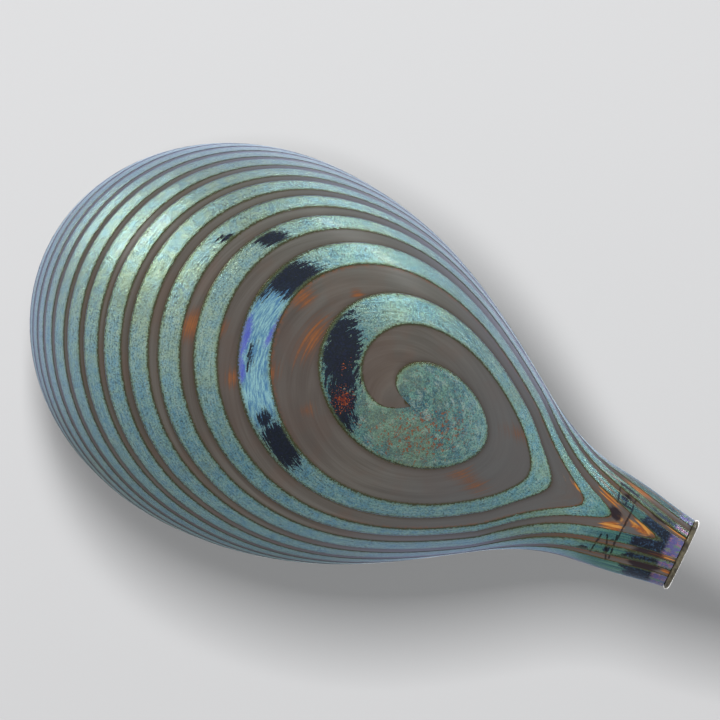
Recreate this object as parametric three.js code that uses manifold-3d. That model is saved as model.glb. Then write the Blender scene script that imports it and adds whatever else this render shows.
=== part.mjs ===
import * as THREE from 'three';
import { mergeVertices } from 'three/addons/utils/BufferGeometryUtils.js';
import Module from 'manifold-3d';

const wasm = await Module();
wasm.setup();

// Lengths are in millimetres. Angles are in degrees unless the name ends in Rad.
// The long axis runs along X: breast towards -X, tail towards +X. Z is up.

// Driving sizes of the blown body
const overallLength = 220;
const bodyRadius = 61.6;
const breastTipX = -83.9;
const breastReach = 71.3;
const widestX = breastTipX + breastReach;
const axisHeight = 59.5;
const tailEndX = breastTipX + overallLength;
const lipWrapThickness = 1.7;
const clearance = 0.3;
const bodyEndX = tailEndX - lipWrapThickness - clearance;
const shoulderX = tailEndX - 61.9;
const shoulderRadius = 28.9;
const shoulderFall = 0.679;
const waistX = tailEndX - 30.8;
const waistRadius = 16;
const waistFall = 0.092;
const tailEndRadius = 11.3;

// Glass thickness, and how far the tail is pressed flat
const bodyWall = 3.6;
const tailWall = 2.6;
const wallTaperStartX = shoulderX - 35;
const tailFlatness = 0.7;
const flatteningStartX = shoulderX - 29;
const baseSoftening = 0.12;

// The trail is sunk flush into its groove
const trailThickness = 0.8;
const grooveDepth = trailThickness + clearance;

// Where the spiral has its eye, and how many turns the trail makes
const eyeLatitudeAngle = 118;
const eyeBearingAngle = -5.6;
const winding = { start: -0.45, hookStart: 0.375, landStart: 0.55, end: 20.1 };
const taperTurns = 0.5;
const farSideAngle = 104;

// Unevenness of the hand-laid turns in degrees: a fixed part, a later one and one for the first turns
const unevenness = {
  allRound: [4.59, -1.62, 0],
  tailward: [4.55, -1.78, -0.61],
  sideways: [-8.47, 1.86, 1.72],
  laterTurns: 6,
  firstTurns: 1.2,
  firstSize: 8,
  fadeFrom: 9,
  fadeTo: 13,
};
const tailPassing = { rise: 5.6, from: 3, to: 6.6, width: 0.12 };
const wedgeTip = { turn: 3, drawnBack: 1.4, width: 0.2 };
const hookBlendTurns = 0.45;

// Spacing of rows, facets and the ends of the trail
const rowCountPerTurn = 36;
const tailCrowding = { once: 0.5, twice: 0.35 };
const facetSag = 0.12;
const mostCrossCount = 5;
const eyeHoleAngle = 0.5;
const trailStartSetback = 0.07;
const trailEndSetback = 0.12;
const capAngle = 173;

// Head, beak and lip
const headRadius = 13;
const neckRadius = 10.5;
const neckLength = 12;
const neckSunk = 4;
const beakLength = 15;
const beakRadius = 4.6;
const beakTipRadius = 0.9;

const deg = THREE.MathUtils.degToRad;

// Outline of the body from the breast tip to the tail end, as x and radius
function bodyOutline() {
  const path = new THREE.CurvePath();
  const back = shoulderX - widestX;
  const nape = waistX - shoulderX;
  const tail = tailEndX - waistX;
  path.add(new THREE.EllipseCurve(widestX, 0, breastReach, bodyRadius, Math.PI, Math.PI / 2, true));
  path.add(new THREE.CubicBezierCurve(
    new THREE.Vector2(widestX, bodyRadius),
    new THREE.Vector2(widestX + 0.404 * back, bodyRadius),
    new THREE.Vector2(shoulderX - 0.333 * back, shoulderRadius + 0.333 * back * shoulderFall),
    new THREE.Vector2(shoulderX, shoulderRadius),
  ));
  path.add(new THREE.CubicBezierCurve(
    new THREE.Vector2(shoulderX, shoulderRadius),
    new THREE.Vector2(shoulderX + 0.173 * nape, shoulderRadius - 0.173 * nape * shoulderFall),
    new THREE.Vector2(waistX - 0.435 * nape, waistRadius + 0.435 * nape * waistFall),
    new THREE.Vector2(waistX, waistRadius),
  ));
  path.add(new THREE.CubicBezierCurve(
    new THREE.Vector2(waistX, waistRadius),
    new THREE.Vector2(waistX + 0.52 * tail, waistRadius - 0.52 * tail * waistFall),
    new THREE.Vector2(tailEndX - 0.249 * tail, tailEndRadius + 0.012 * tail),
    new THREE.Vector2(tailEndX, tailEndRadius),
  ));
  return path;
}

const outline = bodyOutline();
const outlineLength = outline.getLength();
const outlineSteps = 1200;
const outlineTable = [];
for (let i = 0; i <= outlineSteps; i += 1) {
  outlineTable.push(outline.getPointAt(i / outlineSteps));
}

// Closing dome beyond the tail end, cut away later where the mouth is opened
const domeLength = 9;
const lipLatitudeAngle = 170.5;

// Arc length along the outline, measured from the breast tip, for a latitude. The turns are
// evenly spread as far as the shoulder, and drawn out along the tail behind it.
const evenArc = 0.682 * outlineLength;
const evenLatitudeAngle = 134.3;
const latitudeRate = evenLatitudeAngle / evenArc;
const latitudeEase = (latitudeRate * outlineLength - lipLatitudeAngle) / (outlineLength - evenArc) ** 2;
function outlineArc(latitude) {
  if (latitude <= evenLatitudeAngle) {
    return latitude / latitudeRate;
  }
  const root = latitudeRate ** 2 - 4 * latitudeEase * (latitude - evenLatitudeAngle);
  return evenArc + (latitudeRate - Math.sqrt(Math.max(0, root))) / (2 * latitudeEase);
}

// Point of the outline and its outward normal for a latitude of 0 to 180
function outlineAt(latitude) {
  if (latitude > lipLatitudeAngle) {
    const turn = deg(90 * (latitude - lipLatitudeAngle) / (180 - lipLatitudeAngle));
    const x = tailEndX + domeLength * Math.sin(turn);
    return { x, r: tailEndRadius * Math.cos(turn), nx: Math.sin(turn), nr: Math.cos(turn) };
  }
  const place = Math.min(outlineArc(latitude) / outlineLength, 1) * outlineSteps;
  const i = Math.min(Math.floor(place), outlineSteps - 1);
  const p = outlineTable[i];
  const q = outlineTable[i + 1];
  const along = place - i;
  const slope = new THREE.Vector2(q.x - p.x, q.y - p.y).normalize();
  const x = THREE.MathUtils.lerp(p.x, q.x, along);
  return { x, r: THREE.MathUtils.lerp(p.y, q.y, along), nx: -slope.y, nr: slope.x };
}

// How flat the cross-section is at x: 1 is round
function flatness(x) {
  return 1 - (1 - tailFlatness) * THREE.MathUtils.smoothstep(x, flatteningStartX, tailEndX);
}

// The underside is pressed to a level rest: nothing comes lower than the given floor
function pressedTo(floor, z) {
  const over = z - floor;
  if (over <= -baseSoftening) {
    return floor;
  }
  if (over >= baseSoftening) {
    return z;
  }
  return floor + (over + baseSoftening) ** 2 / (4 * baseSoftening);
}

// Point of the body at a latitude and a bearing round the long axis, some depth below the skin
function bodyPoint(latitude, bearingRad, depth) {
  const o = outlineAt(latitude);
  const x = o.x - depth * o.nx;
  const across = o.r - depth * o.nr;
  const up = o.r * flatness(o.x) - depth * o.nr;
  const z = axisHeight - up * Math.cos(bearingRad);
  return new THREE.Vector3(x, across * Math.sin(bearingRad), pressedTo(depth, z));
}

// Frame of the spiral: its eye, the direction of the tail, and the direction across
function directionOf(latitude, bearing) {
  const s = Math.sin(deg(latitude));
  const c = Math.cos(deg(latitude));
  return new THREE.Vector3(-c, s * Math.sin(deg(bearing)), -s * Math.cos(deg(bearing)));
}
const eye = directionOf(eyeLatitudeAngle, eyeBearingAngle);
const tailward = new THREE.Vector3(1, 0, 0).addScaledVector(eye, -eye.x).normalize();
const crossward = new THREE.Vector3().crossVectors(eye, tailward);
if (crossward.y < 0) {
  crossward.negate();
}

// The pull that drew the tail out gathers the turns towards its underside
const pullStartX = tailEndX - 61.6;
const pullStrength = 2.78;
const pullGrowth = 1.43;
function pull(x) {
  const along = Math.max(0, (x - pullStartX) / (bodyEndX - pullStartX));
  return 1 + pullStrength * Math.min(along, 1.05) ** pullGrowth;
}

// Point of the body at an angle theta from the eye and an azimuth about it
function spiralPoint(theta, azimuth, depth) {
  const t = deg(theta);
  const a = deg(azimuth);
  const d = eye.clone().multiplyScalar(Math.cos(t));
  d.addScaledVector(tailward, Math.sin(t) * Math.cos(a));
  d.addScaledVector(crossward, Math.sin(t) * Math.sin(a));
  const latitude = THREE.MathUtils.radToDeg(Math.acos(THREE.MathUtils.clamp(-d.x, -1, 1)));
  const round = Math.atan2(d.y, -d.z) - deg(eyeBearingAngle);
  const half = Math.atan2(Math.sin(round), Math.cos(round)) / 2;
  const drawn = pull(outlineAt(latitude).x);
  const bearing = deg(eyeBearingAngle) + 2 * Math.atan2(Math.sin(half), drawn * Math.cos(half));
  return bodyPoint(latitude, bearing, depth);
}

// Number of turns wound at an angle theta from the eye, mirrored on the far side
function frontTurns(theta) {
  const x = theta / 10;
  return 0.399 - 0.0108 * x + 0.1023 * x * x;
}
function turnsAt(theta) {
  if (theta <= farSideAngle) {
    return frontTurns(theta);
  }
  return 2 * frontTurns(farSideAngle) - frontTurns(2 * farSideAngle - theta);
}

// Width of the bare glass between turns, as a share of one turn
function bareShare(theta) {
  return 0.274 + 1.322 * Math.exp(-Math.min(theta, 2 * farSideAngle - theta) / 23.3);
}

// Angle from the eye where the bare band of turn n has its edge: side -1 inner, +1 outer
function bandEdge(n, side) {
  let low = 15;
  let high = 178;
  for (let i = 0; i < 40; i += 1) {
    const mid = (low + high) / 2;
    if (turnsAt(mid) - side * bareShare(mid) / 2 < n) {
      low = mid;
    } else {
      high = mid;
    }
  }
  return (low + high) / 2;
}

// Smooth curve through hand-set points of turn and angle
function through(points, n) {
  let i = 0;
  while (i < points.length - 2 && points[i + 1][0] < n) {
    i += 1;
  }
  const slopeAt = (j) => {
    const a = points[Math.max(j - 1, 0)];
    const b = points[Math.min(j + 1, points.length - 1)];
    return (b[1] - a[1]) / (b[0] - a[0]);
  };
  const step = points[i + 1][0] - points[i][0];
  const t = THREE.MathUtils.clamp((n - points[i][0]) / step, 0, 1);
  const h0 = (1 + 2 * t) * (1 - t) ** 2;
  const h1 = t * t * (3 - 2 * t);
  const g0 = t * (1 - t) ** 2 * step * slopeAt(i);
  const g1 = t * t * (t - 1) * step * slopeAt(i + 1);
  return h0 * points[i][1] + h1 * points[i + 1][1] + g0 + g1;
}

// The hook at the eye, where the winding begins
const hookOuter = [
  [0.375, 0], [0.385, 4], [0.42, 8.5], [0.5, 13.5], [0.6, 19], [0.7, 24.4], [0.8, 28.6],
  [0.9, 31.7], [1, 33.9], [1.1, 33.1], [1.25, 32.4], [1.4, 33.9], [1.5, 36.8], [1.6, 39.9],
  [1.75, 42.3], [1.9, 42.9], [2, 43.3], [2.2, 43.9], [2.35, 45.8],
];
const hookInner = [
  [0.55, 0], [0.56, 3.5], [0.6, 7.4], [0.7, 12.6], [0.8, 17], [0.9, 20.7], [0.98, 21.9],
  [1.1, 19.9], [1.2, 18.7], [1.3, 18.8], [1.4, 20.9], [1.5, 25], [1.6, 29.4], [1.7, 33.3],
  [1.8, 35.9], [1.95, 37.8], [2.15, 38.3], [2.35, 39.9],
];

// How far turn n strays from the even law, fading out on the far side
function straying(n) {
  const later = unevenness.laterTurns * Math.tanh(n / unevenness.laterTurns);
  const first = unevenness.firstSize * Math.exp(-n / unevenness.firstTurns);
  const size = ([fixed, grown, early]) => fixed + grown * later + early * first;
  const tailward = size(unevenness.tailward) * Math.cos(2 * Math.PI * n);
  const sideways = size(unevenness.sideways) * Math.sin(2 * Math.PI * n);
  const nearTail = Math.exp(-(((n - Math.round(n)) / tailPassing.width) ** 2));
  const risen = THREE.MathUtils.smoothstep(n, tailPassing.from, tailPassing.to);
  const passing = tailPassing.rise * risen * nearTail;
  const fade = 1 - THREE.MathUtils.smoothstep(n, unevenness.fadeFrom, unevenness.fadeTo);
  const tip = wedgeTip.drawnBack * Math.exp(-(((n - wedgeTip.turn) / wedgeTip.width) ** 2));
  return fade * (size(unevenness.allRound) + tailward + sideways + passing) - tip;
}

// Edge of the bare band at turn n: the hand-set start runs into the formula without a step
function edgeTheta(n, side) {
  const start = side > 0 ? hookOuter : hookInner;
  const last = start[start.length - 1][0];
  if (n <= last - hookBlendTurns) {
    return through(start, n);
  }
  const wound = bandEdge(n, side) + straying(n);
  const share = THREE.MathUtils.smoothstep(n, last - hookBlendTurns, last);
  return THREE.MathUtils.lerp(through(start, n), wound, share);
}

// Inner and outer edge of the trail itself and of its groove, which is wider by the clearance
function trailInner(n) {
  return n < winding.hookStart ? 0 : edgeTheta(n, 1);
}
function trailOuter(n) {
  const full = edgeTheta(n + 1, -1);
  const taper = THREE.MathUtils.clamp((winding.end - n) / taperTurns, 0, 1);
  return THREE.MathUtils.lerp(trailInner(n), full, Math.sqrt(taper));
}

// An edge moved sideways along the skin by the clearance: side -1 towards the eye, +1 away
function widened(edge, n, side) {
  const theta = edge(n);
  if (theta < 0.01) {
    return 0;
  }
  const step = 0.004;
  const here = spiralPoint(theta, 360 * n, 0);
  const ahead = spiralPoint(edge(n + step), 360 * (n + step), 0);
  const along = ahead.sub(spiralPoint(edge(n - step), 360 * (n - step), 0)).normalize();
  const across = spiralPoint(theta + side * 0.2, 360 * n, 0).sub(here).multiplyScalar(5);
  const spread = Math.max(across.cross(along).length(), 0.12);
  return Math.max(0, theta + side * clearance / spread);
}
function grooveInner(n) {
  const held = n <= winding.hookStart || n >= winding.end - 0.001;
  return held ? trailInner(n) : widened(trailInner, n, -1);
}
function grooveOuter(n) {
  const held = n <= winding.start || n >= winding.end - 0.001;
  return held ? trailOuter(n) : widened(trailOuter, n, 1);
}
function landInner(n) {
  return n <= winding.landStart ? 0 : grooveOuter(n - 1);
}

// Shares of a turn at which rows stand, closer together where the turns cross the tail
const rowShares = (() => {
  const { start, hookStart, landStart, end } = winding;
  const shares = [start, hookStart, landStart, end].map((n) => n - Math.floor(n));
  for (let k = 0; k < rowCountPerTurn; k += 1) {
    const turn = 2 * Math.PI * k / rowCountPerTurn;
    const once = tailCrowding.once * Math.sin(turn);
    const twice = tailCrowding.twice * Math.sin(2 * turn) / 2;
    const n = (turn - once - twice) / (2 * Math.PI);
    if (shares.every((other) => Math.abs(other - n) > 0.004)) {
      shares.push(n);
    }
  }
  return shares.filter((n, i) => shares.findIndex((m) => Math.abs(m - n) < 1e-6) === i).sort((m, n) => m - n);
})();

// Turn counts of the rows between two turns, the same shares in every turn
function rowsBetween(from, to) {
  const rows = [];
  for (let turn = Math.floor(from) - 1; turn <= to + 1; turn += 1) {
    rows.push(...rowShares.map((share) => turn + share));
  }
  return rows.filter((n) => n > from - 1e-9 && n < to + 1e-9);
}

// Collects triangles, in the order that faces outwards
class Surface {
  constructor() {
    this.corners = [];
  }
  triangle(a, b, c) {
    const tiny = 1e-4;
    if (a.distanceTo(b) < tiny || b.distanceTo(c) < tiny || c.distanceTo(a) < tiny) {
      return;
    }
    for (const p of [a, b, c]) {
      this.corners.push(p.x, p.y, p.z);
    }
  }
  // Fills between two rows that may have different numbers of points, facing either way
  zip(rowA, rowB, turned) {
    let i = 0;
    let j = 0;
    while (i < rowA.length - 1 || j < rowB.length - 1) {
      const nextA = (i + 1) / (rowA.length - 1 || 1);
      const nextB = (j + 1) / (rowB.length - 1 || 1);
      const stepA = j >= rowB.length - 1 || (i < rowA.length - 1 && nextA <= nextB);
      const third = stepA ? rowA[i + 1] : rowB[j + 1];
      const corners = [rowA[i], third, rowB[j]];
      this.triangle(...(turned ? corners.reverse() : corners));
      i += stepA ? 1 : 0;
      j += stepA ? 0 : 1;
    }
  }
  sweep(rows, turned = false) {
    for (let i = 0; i + 1 < rows.length; i += 1) {
      this.zip(rows[i], rows[i + 1], turned);
    }
  }
  geometry() {
    const g = new THREE.BufferGeometry();
    g.setAttribute('position', new THREE.Float32BufferAttribute(this.corners, 3));
    return mergeVertices(g, 1e-4);
  }
}

// Row of points across a band from one theta to another at turn n
function acrossRow(n, inner, outer, depth, steps) {
  const row = [];
  for (let i = 0; i <= steps; i += 1) {
    row.push(spiralPoint(THREE.MathUtils.lerp(inner, outer, i / steps), 360 * n, depth));
  }
  return row;
}

// Steps across a band that keep its facets close to the curved skin
function crossSteps(n, inner, outer) {
  const middle = spiralPoint((inner + outer) / 2, 360 * n, 0);
  const chord = spiralPoint(inner, 360 * n, 0).add(spiralPoint(outer, 360 * n, 0)).multiplyScalar(0.5);
  const sag = middle.distanceTo(chord);
  return THREE.MathUtils.clamp(Math.ceil(Math.sqrt(sag / facetSag)), 1, mostCrossCount);
}
function trailSteps(n) {
  return crossSteps(n, trailInner(n), trailOuter(n));
}

// Outer skin of the body with the groove for the trail, or the same some way outside it
function groovedSkin(lift) {
  const s = new Surface();
  const land = rowsBetween(winding.hookStart, winding.end);
  s.sweep(land.map((n) => {
    const steps = crossSteps(n, landInner(n), grooveInner(n));
    return acrossRow(n, landInner(n), grooveInner(n), -lift, steps);
  }));
  const floor = rowsBetween(winding.start, winding.end);
  const floorDepth = grooveDepth - lift;
  s.sweep(floor.map((n) => acrossRow(n, grooveInner(n), grooveOuter(n), floorDepth, trailSteps(n))));
  const wall = (n, theta) => [spiralPoint(theta, 360 * n, -lift), spiralPoint(theta, 360 * n, floorDepth)];
  s.sweep(land.map((n) => wall(n, grooveInner(n))));
  s.sweep(floor.map((n) => wall(n, grooveOuter(n))), true);
  const cap = rowsBetween(winding.end, winding.end + 1);
  s.sweep(cap.map((n, i) => {
    const row = acrossRow(n, landInner(n), capAngle, -lift, 1);
    if (i === 0) {
      row.splice(1, 0, spiralPoint(grooveInner(n), 360 * n, -lift));
    }
    return row;
  }));
  s.sweep(cap.map((n) => acrossRow(n, capAngle, 180, -lift, 1)));
  return s.geometry();
}

// The trail as one closed strip
function trailStrip() {
  const s = new Surface();
  const from = winding.start + trailStartSetback;
  const to = winding.end - trailEndSetback;
  const turns = [from, ...rowsBetween(from + 0.006, to - 0.006), to];
  const inner = (n) => Math.max(trailInner(n), eyeHoleAngle);
  const outer = (n) => Math.max(trailOuter(n), eyeHoleAngle);
  const top = turns.map((n) => acrossRow(n, inner(n), outer(n), 0, trailSteps(n)));
  const foot = turns.map((n) => acrossRow(n, inner(n), outer(n), trailThickness, trailSteps(n)));
  s.sweep(top);
  s.sweep(foot, true);
  s.sweep(turns.map((n, i) => [top[i][0], foot[i][0]]), true);
  s.sweep(turns.map((n, i) => [top[i][top[i].length - 1], foot[i][foot[i].length - 1]]));
  s.zip(foot[0], top[0]);
  s.zip(top[top.length - 1], foot[foot.length - 1]);
  return s.geometry();
}

// Hollow of the blown bubble, open through the tail
function hollow() {
  const s = new Surface();
  const latitudes = [];
  const rings = 26;
  for (let i = 1; i < rings; i += 1) {
    latitudes.push(180 * i / rings);
  }
  const sides = 20;
  const thinned = (x) => THREE.MathUtils.smoothstep(x, wallTaperStartX, bodyEndX);
  const wallAt = (x) => THREE.MathUtils.lerp(bodyWall, tailWall, thinned(x));
  const ring = (latitude) => {
    const row = [];
    for (let j = 0; j <= sides; j += 1) {
      const bearing = 2 * Math.PI * (j % sides) / sides;
      row.push(bodyPoint(latitude, bearing, wallAt(outlineAt(latitude).x)));
    }
    return row;
  };
  const ends = [bodyPoint(0, 0, bodyWall), bodyPoint(180, 0, tailWall)];
  ends.forEach((p) => p.setZ(axisHeight).setY(0));
  s.sweep([[ends[0]], ...latitudes.map(ring), [ends[1]]]);
  return s.geometry();
}

// Volume inside a closed surface, negative when its faces point inwards
function enclosedVolume(position, index) {
  const corner = (i) => new THREE.Vector3().fromBufferAttribute(position, index[i]);
  let sum = 0;
  for (let i = 0; i < index.length; i += 3) {
    sum += corner(i).dot(corner(i + 1).cross(corner(i + 2))) / 6;
  }
  return sum;
}

// Closed solid for cutting and joining
function solid(geometry) {
  const g = geometry.index ? geometry.clone() : mergeVertices(geometry, 1e-4);
  g.deleteAttribute('normal');
  g.deleteAttribute('uv');
  const welded = mergeVertices(g, 1e-3);
  const kept = [];
  const src = welded.index.array;
  for (let i = 0; i < src.length; i += 3) {
    if (src[i] !== src[i + 1] && src[i + 1] !== src[i + 2] && src[i + 2] !== src[i]) {
      kept.push(src[i], src[i + 1], src[i + 2]);
    }
  }
  const index = enclosedVolume(welded.attributes.position, kept) > 0 ? kept : kept.reverse();
  return new wasm.Manifold(new wasm.Mesh({
    numProp: 3,
    vertProperties: new Float32Array(welded.attributes.position.array),
    triVerts: new Uint32Array(index),
  }));
}
function geometryOf(manifold) {
  const mesh = manifold.getMesh();
  const g = new THREE.BufferGeometry();
  g.setAttribute('position', new THREE.BufferAttribute(new Float32Array(mesh.vertProperties), 3));
  g.setIndex(new THREE.BufferAttribute(new Uint32Array(mesh.triVerts), 1));
  g.computeVertexNormals();
  return g;
}

// Everything at x beyond the given value
function beyond(x) {
  const size = 400;
  const g = new THREE.BoxGeometry(size, size, size);
  g.translate(x + size / 2, 0, 0);
  return solid(g);
}

// Head: a round gather on a short neck, seated on the top of the breast
const headSeat = spiralPoint(180, 0, 0);
const headAxis = new THREE.Vector3(-0.42, 0, 0.9).normalize();
function headProfile() {
  const points = [new THREE.Vector2(0, -neckSunk), new THREE.Vector2(neckRadius + 2, -neckSunk)];
  const neckWaist = new THREE.QuadraticBezierCurve(
    new THREE.Vector2(neckRadius + 2, -neckSunk),
    new THREE.Vector2(neckRadius - 1.5, neckLength * 0.2),
    new THREE.Vector2(neckRadius, neckLength * 0.62),
  );
  points.push(...neckWaist.getPoints(5).slice(1));
  const startAngle = Math.asin((neckLength * 0.62 - neckLength) / headRadius);
  for (let i = 1; i <= 12; i += 1) {
    const a = THREE.MathUtils.lerp(startAngle, Math.PI / 2, i / 12);
    const r = i === 12 ? 0 : headRadius * Math.cos(a);
    points.push(new THREE.Vector2(r, neckLength + headRadius * Math.sin(a)));
  }
  return points;
}
const headCentre = headSeat.clone().addScaledVector(headAxis, neckLength);
function head() {
  const g = new THREE.LatheGeometry(headProfile(), 28);
  g.applyQuaternion(new THREE.Quaternion().setFromUnitVectors(new THREE.Vector3(0, 1, 0), headAxis));
  g.translate(headSeat.x, headSeat.y, headSeat.z);
  return solid(g).subtract(solid(groovedSkin(clearance)));
}

// Beak: a short drawn point set on the front of the head
const beakAxis = new THREE.Vector3(-0.97, 0, -0.22).normalize();
function beak() {
  const points = [[0, -2], [beakRadius, -2], [beakRadius, 0]].map(([r, up]) => new THREE.Vector2(r, up));
  const side = new THREE.QuadraticBezierCurve(
    new THREE.Vector2(beakRadius, 0),
    new THREE.Vector2(beakRadius * 0.75, beakLength * 0.4),
    new THREE.Vector2(beakTipRadius, beakLength - beakTipRadius),
  );
  points.push(...side.getPoints(7).slice(1));
  points.push(new THREE.Vector2(beakTipRadius * 0.6, beakLength - beakTipRadius * 0.3));
  points.push(new THREE.Vector2(0, beakLength));
  const g = new THREE.LatheGeometry(points, 20);
  g.applyQuaternion(new THREE.Quaternion().setFromUnitVectors(new THREE.Vector3(0, 1, 0), beakAxis));
  const root = headCentre.clone().addScaledVector(beakAxis, headRadius - 0.6);
  g.translate(root.x, root.y, root.z);
  const ball = new THREE.SphereGeometry(headRadius + clearance, 40, 24);
  ball.rotateX(Math.PI / 2);
  ball.translate(headCentre.x, headCentre.y, headCentre.z);
  return solid(g).subtract(solid(ball));
}

// Clear wrap round the open end of the tail
function lipWrap() {
  const sides = 40;
  const section = 8;
  const middle = tailEndRadius - tailWall / 2 + 0.2;
  const half = tailWall / 2 + 0.3;
  const rows = [];
  for (let j = 0; j <= sides; j += 1) {
    const bearing = 2 * Math.PI * (j % sides) / sides;
    const row = [];
    for (let i = 0; i <= section; i += 1) {
      const a = 2 * Math.PI * (i % section) / section + Math.PI / section;
      const out = half * Math.cos(a) / Math.cos(Math.PI / section);
      const x = bodyEndX + clearance + lipWrapThickness / 2
        + Math.sin(a) * lipWrapThickness / 2 / Math.cos(Math.PI / section);
      const up = tailEndRadius * tailFlatness - (tailEndRadius - middle) + out;
      row.push(new THREE.Vector3(
        x,
        (middle + out) * Math.sin(bearing),
        axisHeight - up * Math.cos(bearing),
      ));
    }
    rows.push(row);
  }
  const s = new Surface();
  s.sweep(rows);
  return s.geometry();
}

const amber = { color: 0x4a3626, roughness: 0.12, metalness: 0 };
const lustre = { color: 0x5f9d97, roughness: 0.22, metalness: 0.55 };
const clear = { color: 0xb9c6bd, roughness: 0.08, metalness: 0 };

const group = new THREE.Group();
group.name = 'glass_bird';
function addPiece(name, manifold, look) {
  const mesh = new THREE.Mesh(geometryOf(manifold), new THREE.MeshStandardMaterial(look));
  mesh.name = name;
  group.add(mesh);
}

const mouthCut = beyond(bodyEndX);
const body = solid(groovedSkin(0)).subtract(mouthCut).subtract(solid(hollow()));
addPiece('body_bubble', body, amber);
const lengths = solid(trailStrip()).subtract(mouthCut).decompose();
lengths.forEach((length, i) => addPiece(`trail_length_${i + 1}`, length, lustre));
addPiece('tail_lip_wrap', solid(lipWrap()), clear);
addPiece('head', head(), amber);
addPiece('beak', beak(), amber);

export default group;
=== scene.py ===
import math

import bmesh
import bpy
import numpy as np
from mathutils import Matrix, Vector


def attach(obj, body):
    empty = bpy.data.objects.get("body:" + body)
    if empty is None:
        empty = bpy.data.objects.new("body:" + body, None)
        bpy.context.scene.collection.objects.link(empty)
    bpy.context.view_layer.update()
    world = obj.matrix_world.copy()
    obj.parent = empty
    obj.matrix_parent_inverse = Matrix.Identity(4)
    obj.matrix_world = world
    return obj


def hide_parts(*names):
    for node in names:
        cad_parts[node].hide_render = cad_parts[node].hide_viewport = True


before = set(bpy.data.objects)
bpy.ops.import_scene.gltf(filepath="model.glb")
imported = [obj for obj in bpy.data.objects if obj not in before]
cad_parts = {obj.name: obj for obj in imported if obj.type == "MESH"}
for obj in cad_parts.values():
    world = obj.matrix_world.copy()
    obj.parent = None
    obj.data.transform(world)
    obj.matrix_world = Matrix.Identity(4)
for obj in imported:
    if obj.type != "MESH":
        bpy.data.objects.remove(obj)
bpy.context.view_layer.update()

# Lengths are in millimetres until a mesh is made. Angles are in degrees.
MM = 0.001

# The blown body, as in the solids
LENGTH = 220.0
BREAST_X = -83.9
TAIL_X = BREAST_X + LENGTH
BELLY_RADIUS = 61.6
BELLY_X = BREAST_X + 71.3
AXIS_Z = 59.5
WRAP = 1.7
GAP = 0.3
CUT_X = TAIL_X - WRAP - GAP
SHOULDER_X = TAIL_X - 61.9
SHOULDER_RADIUS = 28.9
SHOULDER_FALL = 0.679
WAIST_X = TAIL_X - 30.8
WAIST_RADIUS = 16.0
WAIST_FALL = 0.092
TAIL_RADIUS = 11.3
BODY_WALL = 3.6
TAIL_WALL = 2.6
WALL_THINNING_X = SHOULDER_X - 35
TAIL_FLATNESS = 0.7
FLATTENING_X = SHOULDER_X - 29
MOUTH_DOME = 9
REST_SOFTENING = 0.12

# Handles of the outline's three curves, as shares of each curve's length
BELLY_HANDLE, SHOULDER_LEAD = 0.404, 0.333
SHOULDER_HANDLE, WAIST_LEAD = 0.173, 0.435
WAIST_HANDLE, TAIL_LEAD = 0.52, 0.249
TAIL_RISE = 0.012
CURVE_STEPS, ARC_STEPS = 500, 4001

# Easing that keeps the smooth skin inside the box of the faceted solids
BREAST_EASE, BREAST_EASE_START = 0.03, 70.0
SIDE_EASE, SIDE_EASE_START = 0.38, 45.0

# The winding
EYE_LATITUDE = 118.0
EYE_BEARING = -5.6
START, HOOK_START, END = -0.45, 0.375, 20.1
CORE_DEGREES = 30
FAR_SIDE = 104.0
LIP_LATITUDE = 170.5
EVEN_LATITUDE = 134.3
EVEN_SHARE = 0.682
END_TAPER = 0.5

# Turns against the angle from the eye: constant, slope per ten degrees, curve
TURN_LAW = (0.399, -0.0108, 0.1023)

# Bare share of a turn: far from the eye, how much more beside it, and its fading
BARE_FAR, BARE_NEAR, BARE_FADE = 0.274, 1.322, 23.3

# Drawing out of the turns along the tail
DRAW_START = TAIL_X - 61.6
DRAW_GAIN, DRAW_POWER, DRAW_LIMIT = 2.78, 1.43, 1.05

# Edges of the first bare band: turn, and degrees from the eye
HOOK_OUTER = [
    (0.375, 0), (0.385, 4), (0.42, 8.5), (0.5, 13.5), (0.6, 19), (0.7, 24.4), (0.8, 28.6),
    (0.9, 31.7), (1.0, 33.9), (1.1, 33.1), (1.25, 32.4), (1.4, 33.9), (1.5, 36.8), (1.6, 39.9),
    (1.75, 42.3), (1.9, 42.9), (2.0, 43.3), (2.2, 43.9), (2.35, 45.8),
]
HOOK_INNER = [
    (0.55, 0), (0.56, 3.5), (0.6, 7.4), (0.7, 12.6), (0.8, 17), (0.9, 20.7), (0.98, 21.9),
    (1.1, 19.9), (1.2, 18.7), (1.3, 18.8), (1.4, 20.9), (1.5, 25), (1.6, 29.4), (1.7, 33.3),
    (1.8, 35.9), (1.95, 37.8), (2.15, 38.3), (2.35, 39.9),
]
HOOK_BLEND = 0.45
HOOK_CLEAR = 0.4

# Straying of the hand-laid turns in degrees: constant, slope over later turns, swing near the eye
STRAY_ALL_ROUND = (4.59, -1.62, 0.0)
STRAY_TAILWARD = (4.55, -1.78, -0.61)
STRAY_SIDEWAYS = (-8.47, 1.86, 1.72)
LATER_REACH = 6
EYE_SWING, EYE_SWING_FADE = 8, 1.2
STRAY_FADE = (9, 13)

# The turns bulge where they pass the tail, and the third dips there
BULGE, BULGE_WIDTH, BULGE_TURNS = 5.6, 0.12, (3, 6.6)
THIRD_DIP, THIRD_DIP_WIDTH = 1.4, 0.2


def smoothstep(value, low, high):
    t = np.clip((value - low) / (high - low), 0, 1)
    return t * t * (3 - 2 * t)


# Shape of the blown body

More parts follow.
